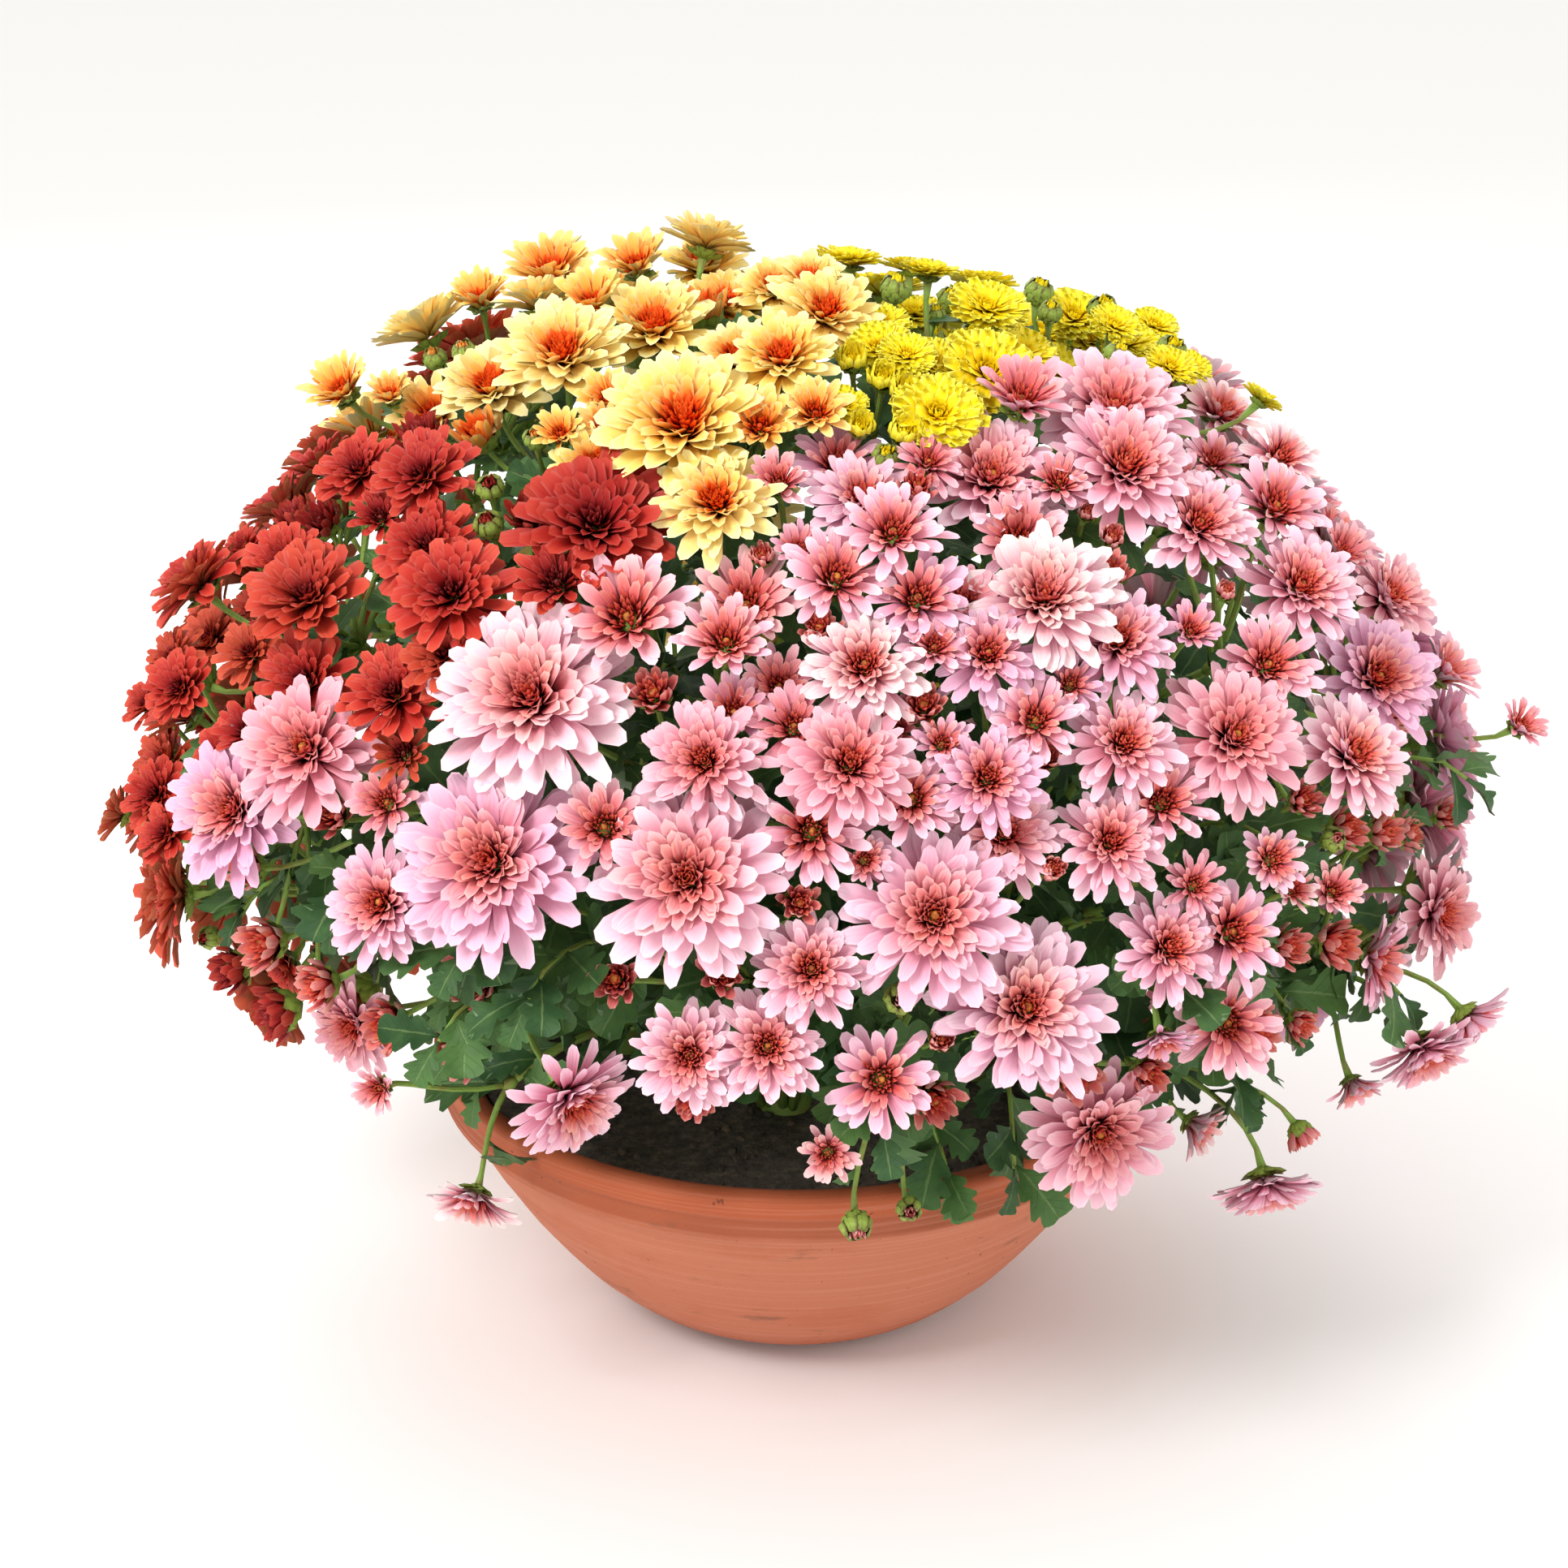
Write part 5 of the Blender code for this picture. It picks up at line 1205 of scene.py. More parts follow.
def florets(head, rng, shape, count, ring, length, low, high, width, out, up, cup, loose=1.0, ease=1.0):
    """Florets of one outline on a spiral. Each pair of numbers goes from the first floret to the last:
    the ring for the shader, from 0 at the rim to 1 in the heart, the length, the rise in degrees at the
    foot and at the tip, the width, and where the foot is, out and up. Lengths are shares of the radius."""
    count = int(count)
    share = ((np.arange(count) + 0.5) / count) ** ease

    def between(pair):
        return pair[0] + (pair[1] - pair[0]) * share

    def uneven(measure):
        return rng.normal(0.0, UNEVEN[measure] * loose, count)

    return {
        "shape": shape,
        "ring": between(ring),
        "turn": head.spin + rng.uniform(0.0, 1.0) + np.arange(count) * GOLDEN_ANGLE + uneven("turn"),
        "length": head.radius * between(length) * (1.0 + uneven("length")),
        "low": np.radians(between(low) + uneven("low")),
        "high": np.radians(between(high) + uneven("high")),
        "width": head.radius * between(width) * (1.0 + uneven("width")),
        "out": head.radius * between(out),
        "up": head.radius * between(up),
        "cup": cup + uneven("cup"),
        "roll": uneven("roll"),
        "yaw": uneven("yaw"),
        "chance": rng.random(count),
    }


def add_head(growth, head, rng, rows, blunt=1.0):
    """Adds a head's florets, which share the head's own tone and age."""
    bloom, age = rng.random(2)
    for row in rows:
        plan = clear_of_hearts(head, row)
        plan["bloom"], plan["age"] = bloom, age
        add_petals(growth, head, plan["shape"], plan, blunt)


def add_bracts(growth, head, rng, count, length, low, high, width, out, up, turn=0.0, shape=None):
    """One ring of green bracts."""
    pairs = [(value, value) for value in (BRACT_KIND, length, low, high, width, out, up)]
    plan = florets(head, rng, shape or SHORT_PETAL, count, *pairs, 0.35, 0.5)
    plan["turn"] = head.spin + turn + np.arange(count) * math.tau / count
    plan["bloom"] = plan["age"] = 0.5
    add_petals(growth, head, plan["shape"], plan, finish=1)


def add_calyx(growth, head, rng):
    """The green cup of overlapping bracts that holds the florets."""
    if head.form == "h":
        add_bracts(growth, head, rng, 8, 0.95, 10, 84, 0.62, 0.05, -0.62)
        add_bracts(growth, head, rng, 8, 0.70, 14, 70, 0.50, 0.05, -0.68, 0.4)
    else:
        add_bracts(growth, head, rng, 8, 0.44, 10, 30, 0.30, 0.04, -0.26)
        add_bracts(growth, head, rng, 7, 0.34, 18, 44, 0.26, 0.04, -0.30, 0.4)


def add_eye(growth, head, rng, wide, up):
    """The low dome of unopened florets in the very middle."""
    wide, up = wide * head.radius, up * head.radius
    profile = [(out * wide, up + rise * wide) for out, rise in EYE_PROFILE]
    points, faces = turned(profile, EYE_TURNS, ((0, profile[0][1]), (-1, profile[-1][1])))
    points = points @ head_frame(head) + np.array(head.centre)
    growth.add(points, faces, (EYE_RING, 0.5, 0.0), (rng.random(), rng.random(), 0.5))


def full_head(growth, head, rng, shape, many, wide, droop, eye, heart_ring, heart_share, heart_out):
    """A full double: rows of florets that grow shorter and more upright to a small heart."""
    rows = (
        florets(head, rng, shape, 0.72 * many, (0.0, 0.34), (1.02, 0.76), (24, 46), (droop, 30),
                (wide, 0.84 * wide), (0.12, 0.08), (-0.09, 0.05), 0.28, ease=1.25),
        florets(head, rng, MIDDLE_PETAL, 0.62 * many, (0.34, 0.66), (0.73, 0.42), (48, 62), (32, 54),
                (0.80 * wide, 0.58 * wide), (heart_out, 0.7 * heart_out), (0.04, 0.12), 0.42),
        florets(head, rng, SHORT_PETAL, heart_share * many, heart_ring, (0.32, 0.19), (60, 82), (58, 88),
                (0.105, 0.07), (heart_out, eye), (0.15, 0.19), 0.5),
    )
    add_head(growth, head, rng, rows)
    if eye:
        add_eye(growth, head, rng, 1.1 * eye, 0.27)


def open_head(growth, head, rng, shape, wide, rise, rings, heart_reach=1.0):
    """A younger head: two or three rows round a broad heart of short, darker florets. Rise cups it."""
    rim, inner, heart = rings
    rows = (
        florets(head, rng, shape, 15 + 450 * head.radius, rim, (1.02, 0.84), (28 + rise, 44 + rise),
                (rise - 4, 20 + rise), (wide, 0.92 * wide), (0.20, 0.16), (-0.09, 0.0), 0.30),
        florets(head, rng, MIDDLE_PETAL, 12 + 300 * head.radius, inner, (0.72, 0.54), (50 + 0.3 * rise, 64),
                (28 + rise, 56), (0.74 * wide, 0.60 * wide), (0.20, 0.16), (0.0, 0.05), 0.36),
        florets(head, rng, SHORT_PETAL, 26 + 800 * head.radius, heart,
                (0.40 * heart_reach, 0.20 * heart_reach), (58, 82), (48, 88), (0.105, 0.075),
                (0.27, 0.07), (0.0, 0.10), 0.5),
    )
    add_head(growth, head, rng, rows)
    add_eye(growth, head, rng, 0.08, 0.17)


def brush_head(growth, head, rng):
    """A head just opening: a tight brush of dark florets that spreads from its green cup."""
    outer, inner = (116, 100) if head.radius < BRUSH_CLOSED_TO else (70, 76)
    rows = (
        florets(head, rng, MIDDLE_PETAL, 14, (0.64, 0.70), (1.30, 1.10), (16, 40), (outer, 100),
                (0.42, 0.36), (0.14, 0.14), (-0.52, -0.40), 0.45, 0.7),
        florets(head, rng, SHORT_PETAL, 22, (0.74, 0.92), (1.00, 0.52), (52, 80), (inner, 88),
                (0.28, 0.18), (0.26, 0.06), (-0.34, -0.02), 0.5, 0.7),
    )
    add_head(growth, head, rng, rows)
    add_eye(growth, head, rng, 0.20, 0.18)


def bud_head(growth, head, rng):
    """A round bud: overlapping bracts close over the florets, whose colour shows at the top."""
    add_bracts(growth, head, rng, 7, 2.00, -6, 150, 1.00, 0.04, -0.84, 0.0, MIDDLE_PETAL)
    add_bracts(growth, head, rng, 7, 1.70, -6, 132, 0.96, 0.04, -0.90, 0.45, MIDDLE_PETAL)
    add_bracts(growth, head, rng, 7, 1.15, -4, 98, 0.80, 0.04, -0.96, 0.2, MIDDLE_PETAL)
    rows = (florets(head, rng, SHORT_PETAL, 11, (0.60, 0.75), (0.95, 0.80), (60, 72), (106, 100),
                    (0.36, 0.28), (0.34, 0.05), (-0.10, 0.02), 0.4, 0.6),)
    add_head(growth, head, rng, rows)


def stops(inner, *colours):
    """A ramp's colours: the first at a floret's foot, the last at its tip, the others at the inner places.
    The deeper colours towards the foot are partly the floret's own and partly painted shade.
    """
    return tuple(zip((0.0, *inner, 1.0), [tint(*colour) for colour in colours]))


def petal_material(name, ramps, back, eye, edge_and_highlight, shading):
    """Soft petals, with ramps for the rim's florets, the body's, those round the heart and those in it."""
    material, start = new_material(name, Specular_IOR_Level=0.22)
    ring, along, across = start.attribute("part").axes()
    bloom, chance, age = start.attribute("draw").axes()
    under = start.attribute("under", "Fac")
    cloud = start.noise(70.0, 3.0)
    place = ring + (chance - 0.5) * 0.08 + (cloud - 0.5) * 0.08
    tip = along + (chance - 0.5) * 0.14 + (cloud - 0.5) * 0.2
    # Each ramp darkens and deepens towards the floret's foot: partly the floret's own colour, partly painted
    # shade where the feet lie deep among the other florets.
    rim, body, blush, heart = [tip.ramp(*ramp) for ramp in ramps]
    colour = place.step(0.20, 0.46).mixed(rim, body)
    colour = place.step(0.52, 0.66).mixed(colour, blush)
    colour = place.step(0.72, 0.82).mixed(colour, heart)
    colour = shading(colour, bloom, age, tip, across, ring)
    colour = (under * (1.0 - ring.step(0.4, 0.7)) * 0.85).mixed(colour, tip.ramp(*back))
    # The margins go towards near-white: partly the florets' paler edge, partly a painted highlight where the
    # edges catch the light.
    margin = abs(across).step(0.55, 1.0) * tip.step(0.3, 0.9) * (1.0 - ring.step(0.7, 0.8))
    colour = (margin * edge_and_highlight).mixed(colour, PETAL_EDGE_AND_HIGHLIGHT)
    grain = start.noise(420.0, 2.0)
    colour = ring.step(1.1, 1.2).mixed(colour, (grain - 0.35).step(0.0, 0.3).mixed(*eye))
    blemish = (start.noise(240.0, 3.0) - 0.70).step(0.0, 0.05) * age.step(0.4, 0.9) * tip.step(0.2, 0.8)
    colour = (blemish * 0.5).mixed(colour, PETAL_BLEMISH)
    streak = (across * PETAL_STREAKS + chance * 5.0).sine()
    feed(material, Base_Color=colour, Roughness=0.44 + 0.2 * cloud,
         Normal=(streak * 0.5 + cloud * 0.4).bump(0.0002, 0.45))
    return material


def add_stalk(growth, head, spray, rng):
    """The stalk that curves from the spray's knot into the back of a head, with its small leaves."""
    knot, foot, facing = [np.array(vector) for vector in (spray.fork, head.foot(), head.facing)]
    reach = float(np.linalg.norm(foot - knot))
    bend = foot - facing * (STALK_BEND * reach)
    early = 0.5 * (bend + knot) + STALK_EARLY * reach * np.array(spray.way)
    end = foot + facing * (STALK_INTO_HEAD * head.radius)
    path = curve_points((knot, early, 0.5 * (bend + foot), end), STALK_ROWS)
    thick = STALK_THICK * (STALK_LEAST + STALK_GROWTH * head.radius)
    radii = np.linspace(thick * STALK_FOOT, thick, STALK_ROWS)
    radii[-1] = max(thick * STALK_NECK, STALK_NECK_SHARE * head.radius)
    add_stem(growth, path, radii, rng, STALK_SIDES, finish=1)
    for place in rng.uniform(*STALK_LEAVES_AT, 1 if head.form in "bh" else 2):
        spot = path[int(place * (STALK_ROWS - 1))]
        turn = rng.uniform(0.0, math.tau)
        side = head.facing.orthogonal().normalized()
        arm = math.cos(turn) * side + math.sin(turn) * head.facing.cross(side)
        way = (STALK_LEAF_OUT * arm + STALK_LEAF_UP * head.facing).normalized()
        length = rng.uniform(*STALK_LEAF_LENGTHS) * (BUD_LEAF_SHARE if head.form == "b" else 1.0)
        if mound_level(Vector(spot) + length * way) < STALK_LEAF_REACH:
            add_leaf(growth, spot, way, head.facing, length, rng, SMALL_LEAF_ROWS, finish=1)


def seed_of(spray):
    """A spray's own seed, from its name and place."""
    return sum(map(ord, spray.name)) * 7 + int(1e6 * abs(spray.fork.x))


def full_form(shape, many, wide, droop, heart_ring, heart_share, heart_out=0.13):
    """The full flower of a colour. Many gives its florets: the least, and how many more for each metre."""
    def grow(growth, head, rng):
        count = many[0] + many[1] * head.radius
        full_head(growth, head, rng, shape, count, wide, rng.uniform(*droop), 0.0, heart_ring, heart_share,
                  heart_out)
    return grow


def open_form(shape, wide, rise, rings, heart_reach):
    """The younger flower of a colour."""
    def grow(growth, head, rng):
        open_head(growth, head, rng, shape, wide, rng.uniform(*rise), rings, heart_reach)
    return grow


def make_flowers(colour, full, young, half_open, material):
    """One piece for each spray of a colour: its heads on their stalks, which part from a small knot."""
    forms = {"f": full, "y": young, "h": half_open, "b": bud_head}
    for spray in [spray for spray in all_sprays if spray.name.startswith(colour)]:
        rng = np.random.default_rng(seed_of(spray))
        growth = Growth()
        for head in spray.heads:
            forms[head.form](growth, head, rng)
            if head.form != "b":
                add_calyx(growth, head, rng)
            add_stalk(growth, head, spray, rng)
        knot_places = np.linspace(*KNOT_REACH, len(KNOT_RADII))
        knot_path = np.array(spray.fork) + np.outer(knot_places, np.array(spray.way))
        add_stem(growth, knot_path, KNOT_RADII, rng, KNOT_SIDES, finish=1)
        piece = growth.made(f"{spray.name}_flowers", [material, foliage])
        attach(piece, "root")
        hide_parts(spray.name)


def pink_shading(colour, bloom, age, tip, across, ring):
    faded = (age - 0.55).step(0.0, 0.4) * tip.step(0.35, 1.0) * 0.65 * (1.0 - ring.step(0.5, 0.7))
    colour = faded.mixed(colour, FADED_PINK)
    rosy = (1.0 - bloom.step(0.0, 0.35)) * 0.35 * (1.0 - ring.step(0.6, 0.8))
    colour = rosy.mixed(colour, ROSY_PINK)
    lilac = bloom.step(0.5, 1.0) * 0.50 * (1.0 - ring.step(0.3, 0.6))
    return lilac.mixed(colour, LILAC_PINK)


def pink_flower(growth, head, rng):
    """An open pink flower: a small one is flat and open, a large one has more florets round its heart."""
    if head.radius <= PINK_FULL_FROM:
        open_head(growth, head, rng, LONG_PETAL, 0.27, rng.uniform(-4.0, 10.0), PINK_OPEN_RINGS)
        return
    eye = 0.055 if rng.random() < 0.5 else 0.02
    heart_ring, heart_out = PINK_LARGE_HEART if head.radius > PINK_LARGE_FROM else PINK_HEART
    full_head(growth, head, rng, LONG_PETAL, 26 + 1500 * head.radius, 0.25, rng.uniform(-24.0, 0.0), eye,
              heart_ring, 0.58, heart_out)


pink_petals = petal_material(
    "pink_petals",
    (
        stops((0.35, 0.70), (206, 92, 104), (232, 138, 154), (245, 180, 198), (252, 218, 230)),
        stops((0.40, 0.78), (196, 64, 74), (228, 118, 124), (242, 160, 164), (251, 202, 204)),
        stops((0.40, 0.78), (190, 50, 58), (220, 92, 92), (238, 136, 130), (250, 184, 170)),
        stops((0.40, 0.75), (166, 34, 42), (206, 62, 60), (232, 100, 82), (248, 154, 118)),
    ),
    stops((0.6,), (228, 150, 176), (246, 198, 220), (252, 226, 238)),
    (tint(134, 60, 36), tint(206, 140, 62)), 0.16, pink_shading)
pink_young = open_form(LONG_PETAL, 0.27, (12.0, 26.0), PINK_YOUNG_RINGS, 1.15)
make_flowers("pink", pink_flower, pink_young, brush_head, pink_petals)


# Apricot flowers: broad florets with a soft point, cream at the rim and orange further in, round
# a tight brush of short orange-red ones. Younger heads are still cups and orange all through.
APRICOT_OPEN_RINGS = ((0.42, 0.56), (0.60, 0.70), (0.80, 0.96))
CREAM = tint(254, 243, 190)


def apricot_shading(colour, bloom, age, tip, across, ring):
    cream = (age * 0.6 + bloom * 0.4 - 0.35).step(0.0, 0.5) * (1.0 - ring.step(0.3, 0.6)) * 0.55
    return cream.mixed(colour, CREAM)


apricot_petals = petal_material(
    "apricot_petals",
    (
        stops((0.40, 0.75), (248, 150, 34), (254, 200, 78), (255, 228, 120), (255, 243, 176)),
        stops((0.40, 0.78), (247, 130, 30), (254, 176, 62), (255, 208, 100), (255, 230, 146)),
        stops((0.45, 0.80), (226, 80, 20), (247, 128, 38), (253, 166, 64), (255, 202, 106)),
        stops((0.40, 0.75), (176, 32, 12), (232, 60, 16), (248, 94, 28), (254, 138, 50)),
    ),
    stops((0.6,), (255, 198, 96), (255, 226, 142), (255, 244, 190)),
    (tint(130, 40, 20), tint(214, 84, 36)), 0.20, apricot_shading)
apricot_flower = full_form(POINTED_PETAL, (25, 1000), 0.30, (-10.0, 14.0), (0.78, 0.97), 1.0, 0.18)
apricot_young = open_form(POINTED_PETAL, 0.32, (12.0, 28.0), APRICOT_OPEN_RINGS, 1.1)
make_flowers("apricot", apricot_flower, apricot_young, brush_head, apricot_petals)


# Red flowers: broad spoon-shaped florets in loose rows, brick red with orange edges and backs,
# round a small maroon heart. The youngest are small, dark and still cupped.
RED_OPEN_RINGS = ((0.26, 0.48), (0.60, 0.70), (0.80, 0.96))
RED_EDGE = tint(216, 104, 72)
DEEP_RED = tint(150, 26, 28)
BRONZE = tint(204, 96, 60)


def red_shading(colour, bloom, age, tip, across, ring):
    edge = abs(across).step(0.70, 1.0) * tip.step(0.4, 0.9) * 0.12
    colour = edge.mixed(colour, RED_EDGE)
    colour = ((1.0 - bloom.step(0.1, 0.4)) * 0.28).mixed(colour, DEEP_RED)
    return (bloom.step(0.5, 1.0) * 0.50 * (1.0 - ring.step(0.5, 0.8))).mixed(colour, BRONZE)


red_petals = petal_material(
    "red_petals",
    (
        stops((0.40, 0.78), (128, 20, 18), (178, 38, 32), (198, 54, 42), (212, 80, 58)),
        stops((0.40, 0.78), (110, 14, 18), (166, 30, 30), (188, 48, 40), (204, 72, 56)),
        stops((0.45, 0.80), (88, 12, 20), (144, 24, 28), (174, 42, 40), (194, 68, 58)),
        stops((0.50, 0.82), (70, 10, 20), (118, 24, 30), (164, 50, 50), (194, 90, 78)),
    ),
    stops((0.6,), (174, 78, 50), (208, 104, 72), (224, 132, 96)),
    (tint(60, 20, 24), tint(140, 60, 50)), 0.04, red_shading)
red_flower = full_form(SPOON_PETAL, (25, 1150), 0.31, (-22.0, 14.0), (0.74, 0.90), 0.30)
red_young = open_form(LONG_PETAL, 0.28, (12.0, 26.0), RED_OPEN_RINGS, 1.1)
make_flowers("red", red_flower, red_young, brush_head, red_petals)


# Yellow flowers: small, clear yellow and very full, with fine toothed florets that dip in the
# middle. Many are still green globes of bracts or have just opened to a ring of curled florets.
YELLOW_BLUNT = 0.88
DEEP_YELLOW = tint(250, 212, 16)


def yellow_shading(colour, bloom, age, tip, across, ring):
    return (bloom.step(0.4, 1.0) * 0.25).mixed(colour, DEEP_YELLOW)


def yellow_flower(growth, head, rng):
    many = 23 + 950 * head.radius
    rows = (
        florets(head, rng, MIDDLE_PETAL, many, (0.0, 0.34), (1.0, 0.84), (20, 30), (4, 18),
                (0.36, 0.32), (0.12, 0.10), (-0.07, 0.02), 0.14, 0.6, ease=1.2),
        florets(head, rng, MIDDLE_PETAL, 0.55 * many, (0.34, 0.60), (0.76, 0.46), (30, 44), (14, 44),
                (0.32, 0.24), (0.10, 0.08), (0.02, 0.06), 0.20, 0.7),
        florets(head, rng, SHORT_PETAL, 0.5 * many, (0.70, 0.90), (0.34, 0.16), (50, 80), (70, 120),
                (0.17, 0.10), (0.16, 0.03), (0.06, 0.06), 0.4, 0.5),
    )
    add_head(growth, head, rng, rows, YELLOW_BLUNT)


def yellow_button(growth, head, rng):
    """A yellow head just opening: a ring of florets that curl over the closed heart."""
    rows = (
        florets(head, rng, MIDDLE_PETAL, 20, (0.10, 0.40), (1.40, 1.20), (4, 26), (116, 112),
                (0.46, 0.38), (0.12, 0.10), (-0.42, -0.32), 0.30, 0.5),
        florets(head, rng, SHORT_PETAL, 20, (0.50, 0.95), (0.95, 0.45), (40, 70), (110, 100),
                (0.28, 0.20), (0.20, 0.02), (-0.26, -0.05), 0.4, 0.5),
    )
    add_head(growth, head, rng, rows)


yellow_petals = petal_material(
    "yellow_petals",
    (
        stops((0.35, 0.75), (250, 202, 6), (255, 230, 12), (255, 240, 34), (255, 247, 92)),
        stops((0.35, 0.75), (246, 192, 6), (255, 222, 10), (255, 236, 26), (255, 243, 70)),
        stops((0.45, 0.80), (240, 186, 6), (254, 218, 10), (255, 234, 20), (255, 243, 46)),
        stops((0.45, 0.80), (232, 172, 8), (250, 208, 10), (255, 228, 20), (255, 238, 38)),
    ),
    stops((0.5,), (252, 220, 24), (255, 234, 32), (255, 243, 72)),
    (tint(190, 160, 24), tint(236, 206, 50)), 0.10, yellow_shading)
make_flowers("yellow", yellow_flower, yellow_flower, yellow_button, yellow_petals)


# Each plant stands on a woody crown in the soil. Its stems part low down, rise under the flowers
# and lean out over the rim, with a leaf at every joint and the largest leaves low and outside.
CROWN_HEIGHTS = (-0.012, -0.004, 0.003, 0.008, 0.011)
CROWN_RADII = (0.012, 0.013, 0.0125, 0.010, 0.005)
CROWN_TURNS = 14
STEM_FOOT_RADIUS = 0.00264
STEM_END_RADIUS = 0.00204
STEM_ROWS = 12
STEM_LEAVES = 22
STEM_BARE = 0.20
LEAF_LENGTHS = (0.027, 0.049)
LEAF_SPACING = (0.2, 0.8)
LEAF_FROM_STEM = 0.85
LEAF_UP_STEM = 0.45
LEAF_TO_LIGHT = 0.35
LEAF_FACE_UP = 0.7
LEAF_FACE_OUT = 0.6
LEAF_WAY_SCATTER = 0.15
LEAF_FACE_SCATTER = 0.22
LEAF_DEEPEST = 0.40
LEAF_OUTER = 0.80
LEAF_BOWL_GAP = 0.004
LEAF_LIP_GAP = 0.008
LEAF_IN_BOWL_TO = 0.145
# Leafy shoots without flowers: picture x and y of the tip, and how far out it is, 1 being the mound's face
SHOOTS = {
    "apricot": ((640, 590, 0.93),),
    "yellow": (),
    "red": ((400, 1120, 0.97), (300, 1120, 1.00), (470, 790, 0.93), (775, 880, 0.84)),
    "pink_front": (
        (1170, 1455, 1.00), (1090, 1400, 0.98), (555, 1180, 0.97), (640, 1240, 0.97), (530, 1290, 0.98),
        (765, 800, 0.82),
    ),
    "pink_right": (
        (1250, 1440, 1.00), (1560, 1180, 0.97), (1600, 1250, 0.98), (1470, 1230, 0.95), (1720, 1010, 1.00),
        (1790, 960, 1.02), (1725, 1225, 1.00), (1530, 1340, 1.00), (1600, 1060, 0.96),
    ),
}
SHOOT_THICK = 0.0018
SHOOT_LEAVES = 11
SHOOT_BARE = 0.50
SHOOT_LEAF_LENGTHS = (0.021, 0.037)
SHOOT_LEAF_REACH = 1.10
SHOOT_GRAZING_SHARE = 0.3
SHOOT_START_HEIGHT = 0.005
SHOOT_EARLY_OUT = 0.25
SHOOT_EARLY_UP = 0.10
SHOOT_LATE_OUT = 0.85
SHOOT_LATE_UP = 0.02
SHOOT_OVER_TIP = 0.02
SHOOT_OVER_RIM = 0.035
# Parts of the picture, left, right, top and foot, where bare soil and the bowl's left side show
BARE_PLACES = ((715, 1000, 1350, 1470), (560, 730, 1375, 1520))


def hides_bowl(point):
    way = point - EYE
    depth = way.dot(FORWARD)
    px = PICTURE_MIDDLE + FOCAL_PIXELS * way.x / depth
    py = PICTURE_MIDDLE - FOCAL_PIXELS * way.dot(UPWARD) / depth
    return any(left < px < right and top < py < foot for left, right, top, foot in BARE_PLACES)


def cuts_bowl(root, tip):
    """Whether a leaf would cut into the soil or the bowl's lip."""
    out = math.hypot(tip.x, tip.y)
    buried = min(tip.z, root.z) < SOIL_TOP + LEAF_BOWL_GAP
    low = tip.z < RIM_TOP - LEAF_BOWL_GAP and out < RIM_RADIUS + LEAF_LIP_GAP
    return low and (buried or out > LEAF_IN_BOWL_TO)


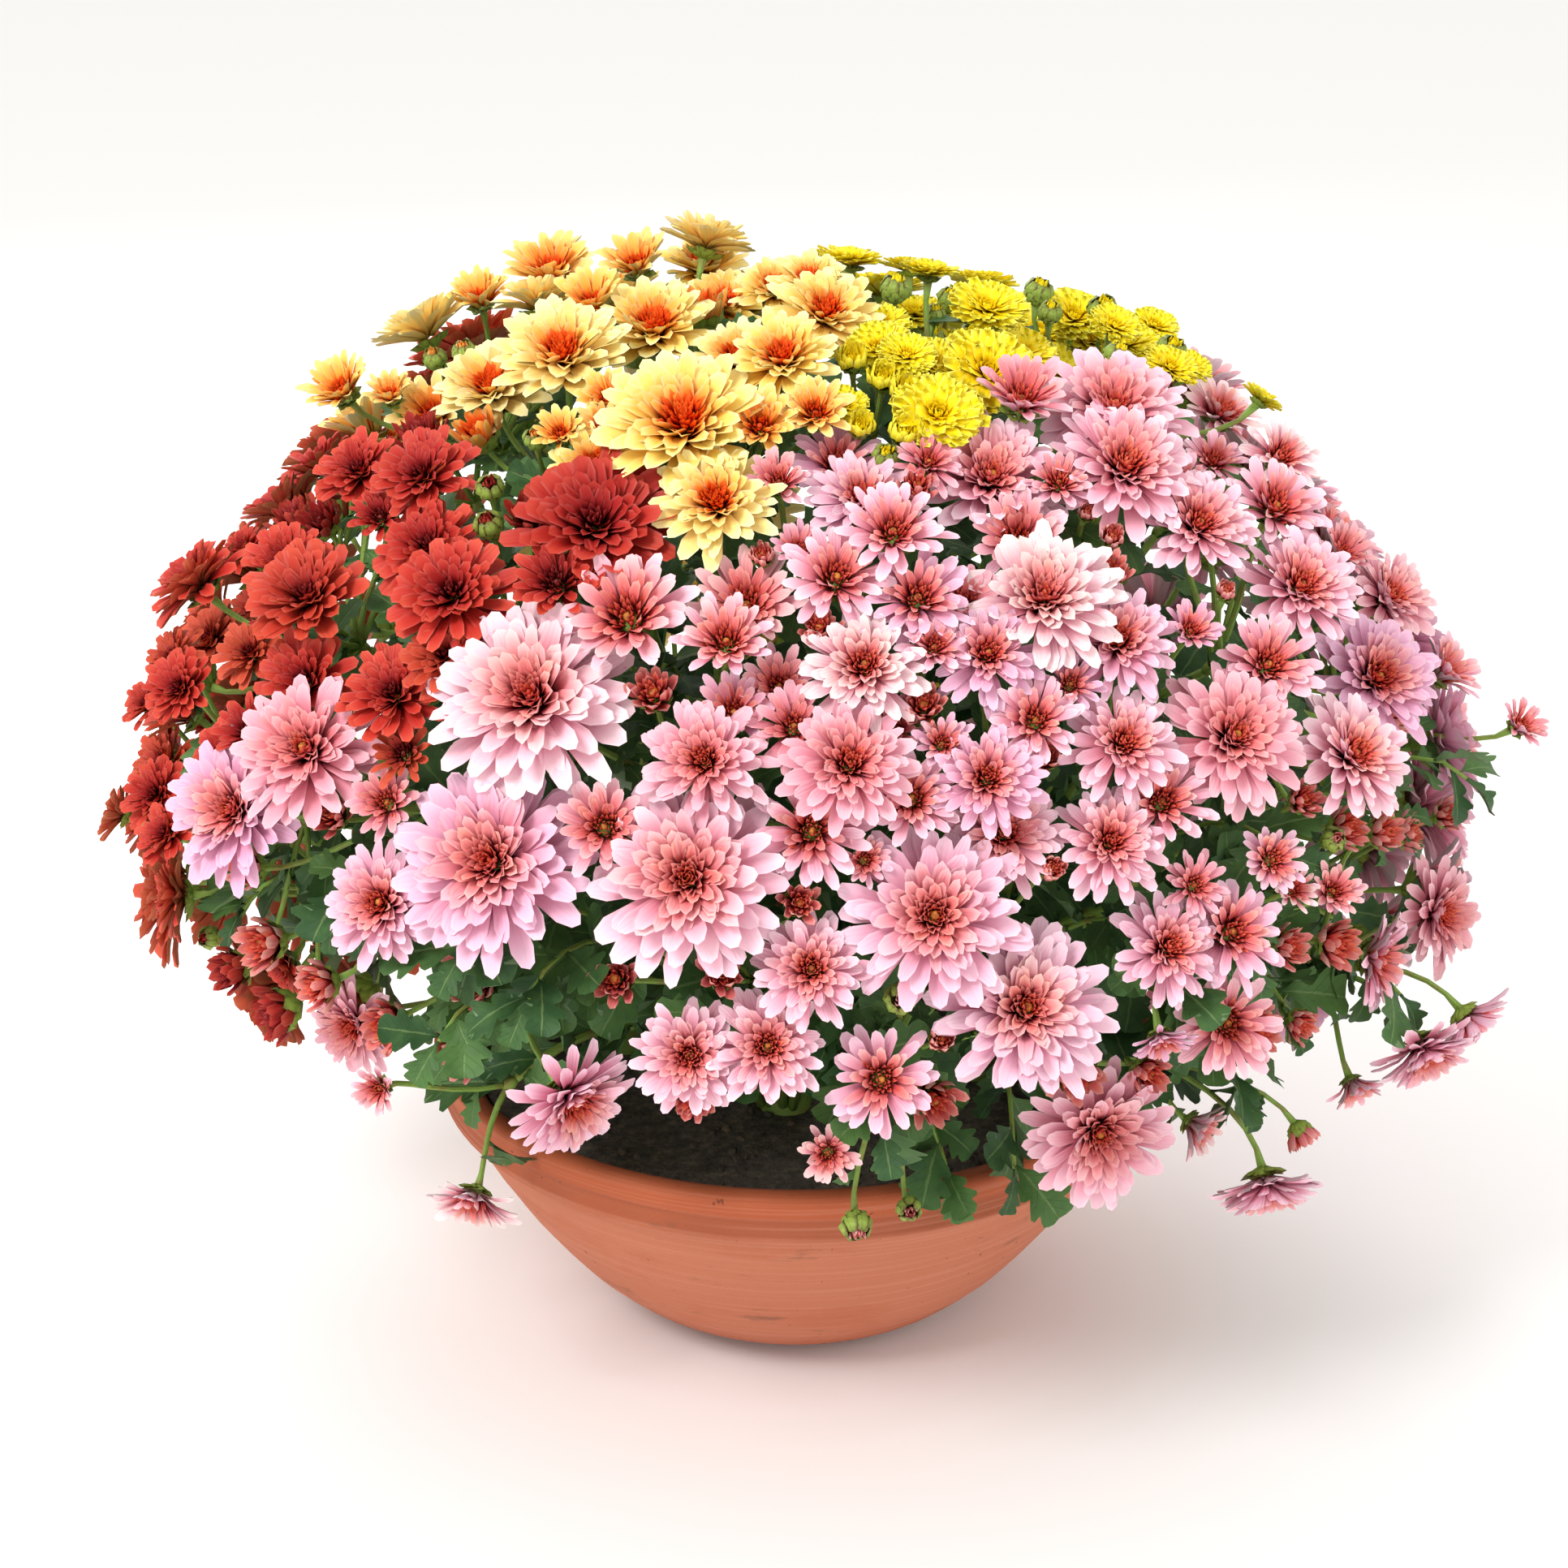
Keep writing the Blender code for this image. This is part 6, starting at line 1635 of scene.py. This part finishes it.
def leave_stem(growth, path, count, bare, rng, lengths, reach_level=1.0):
    """Sets leaves round a stem, one above the other at golden angles, where they stay inside the mound."""
    spin = rng.uniform(0.0, math.tau)
    for number in range(count):
        reach = (bare + (1.0 - bare) * (number + rng.uniform(*LEAF_SPACING)) / count) * (len(path) - 1)
        k = min(int(reach), len(path) - 2)
        root = Vector(path[k] + (path[k + 1] - path[k]) * (reach - k))
        stem_way = Vector(path[k + 1] - path[k]).normalized()
        side = stem_way.orthogonal().normalized()
        turn = spin + number * GOLDEN_ANGLE
        arm = math.cos(turn) * side + math.sin(turn) * stem_way.cross(side)
        outward = mound_outward(root)
        way = LEAF_FROM_STEM * arm + LEAF_UP_STEM * stem_way + LEAF_TO_LIGHT * outward
        way = (way + Vector(rng.normal(0.0, LEAF_WAY_SCATTER, 3))).normalized()
        face = Vector((0.0, 0.0, LEAF_FACE_UP)) + LEAF_FACE_OUT * outward
        face = (face + Vector(rng.normal(0.0, LEAF_FACE_SCATTER, 3))).normalized()
        length = rng.uniform(*lengths)
        tip = root + length * way
        level = mound_level(tip)
        if not LEAF_DEEPEST < level <= reach_level or cuts_bowl(root, tip):
            continue
        if not hides_bowl(tip) and not hides_bowl(root + 0.5 * length * way):
            rows = LEAF_ROWS if level > LEAF_OUTER else SMALL_LEAF_ROWS
            add_leaf(growth, root, way, face, length, rng, rows)


def add_shoot(growth, crown, px, py, level, rng):
    """A leafy shoot without flowers: it rises from the crown, passes over the lip and ends in a leaf."""
    surface = point_on_mound(sight_line(px, py), SHOOT_GRAZING_SHARE)
    tip = MOUND_CENTRE + level * (surface - MOUND_CENTRE)
    start = Vector((*crown, SOIL_TOP + SHOOT_START_HEIGHT))
    side = Vector((tip.x - start.x, tip.y - start.y, 0.0))
    early = start + SHOOT_EARLY_OUT * side + Vector((0.0, 0.0, SHOOT_EARLY_UP))
    late = start + SHOOT_LATE_OUT * side
    late.z = max(tip.z + SHOOT_OVER_TIP, RIM_TOP + SHOOT_OVER_RIM) + SHOOT_LATE_UP
    path = curve_points((start, early, late, tip), STEM_ROWS)
    add_stem(growth, path, np.linspace(SHOOT_THICK, 0.5 * SHOOT_THICK, STEM_ROWS), rng)
    leave_stem(growth, path, SHOOT_LEAVES, SHOOT_BARE, rng, SHOOT_LEAF_LENGTHS, SHOOT_LEAF_REACH)
    end_way = Vector(path[-1] - path[-2]).normalized()
    add_leaf(growth, tip, end_way, mound_outward(tip), SHOOT_LEAF_LENGTHS[0], rng)


for plant_number, (plant, crown) in enumerate(CROWNS.items()):
    rng = np.random.default_rng(2000 + plant_number)
    growth = Growth()
    crown_path = np.array([(*crown, SOIL_TOP + height) for height in CROWN_HEIGHTS])
    add_stem(growth, crown_path, CROWN_RADII, rng, CROWN_TURNS)
    for spray in [spray for spray in all_sprays if spray.plant == plant]:
        path = curve_points(spray.stem, STEM_ROWS)
        add_stem(growth, path, np.linspace(STEM_FOOT_RADIUS, STEM_END_RADIUS, STEM_ROWS), rng)
        leave_stem(growth, path, STEM_LEAVES, STEM_BARE, rng, LEAF_LENGTHS)
    for px, py, level in SHOOTS[plant]:
        add_shoot(growth, crown, px, py, level, rng)
    piece = growth.made(f"{plant}_plant_green", [foliage])
    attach(piece, "root")
    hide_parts(f"{plant}_stems_leaves")
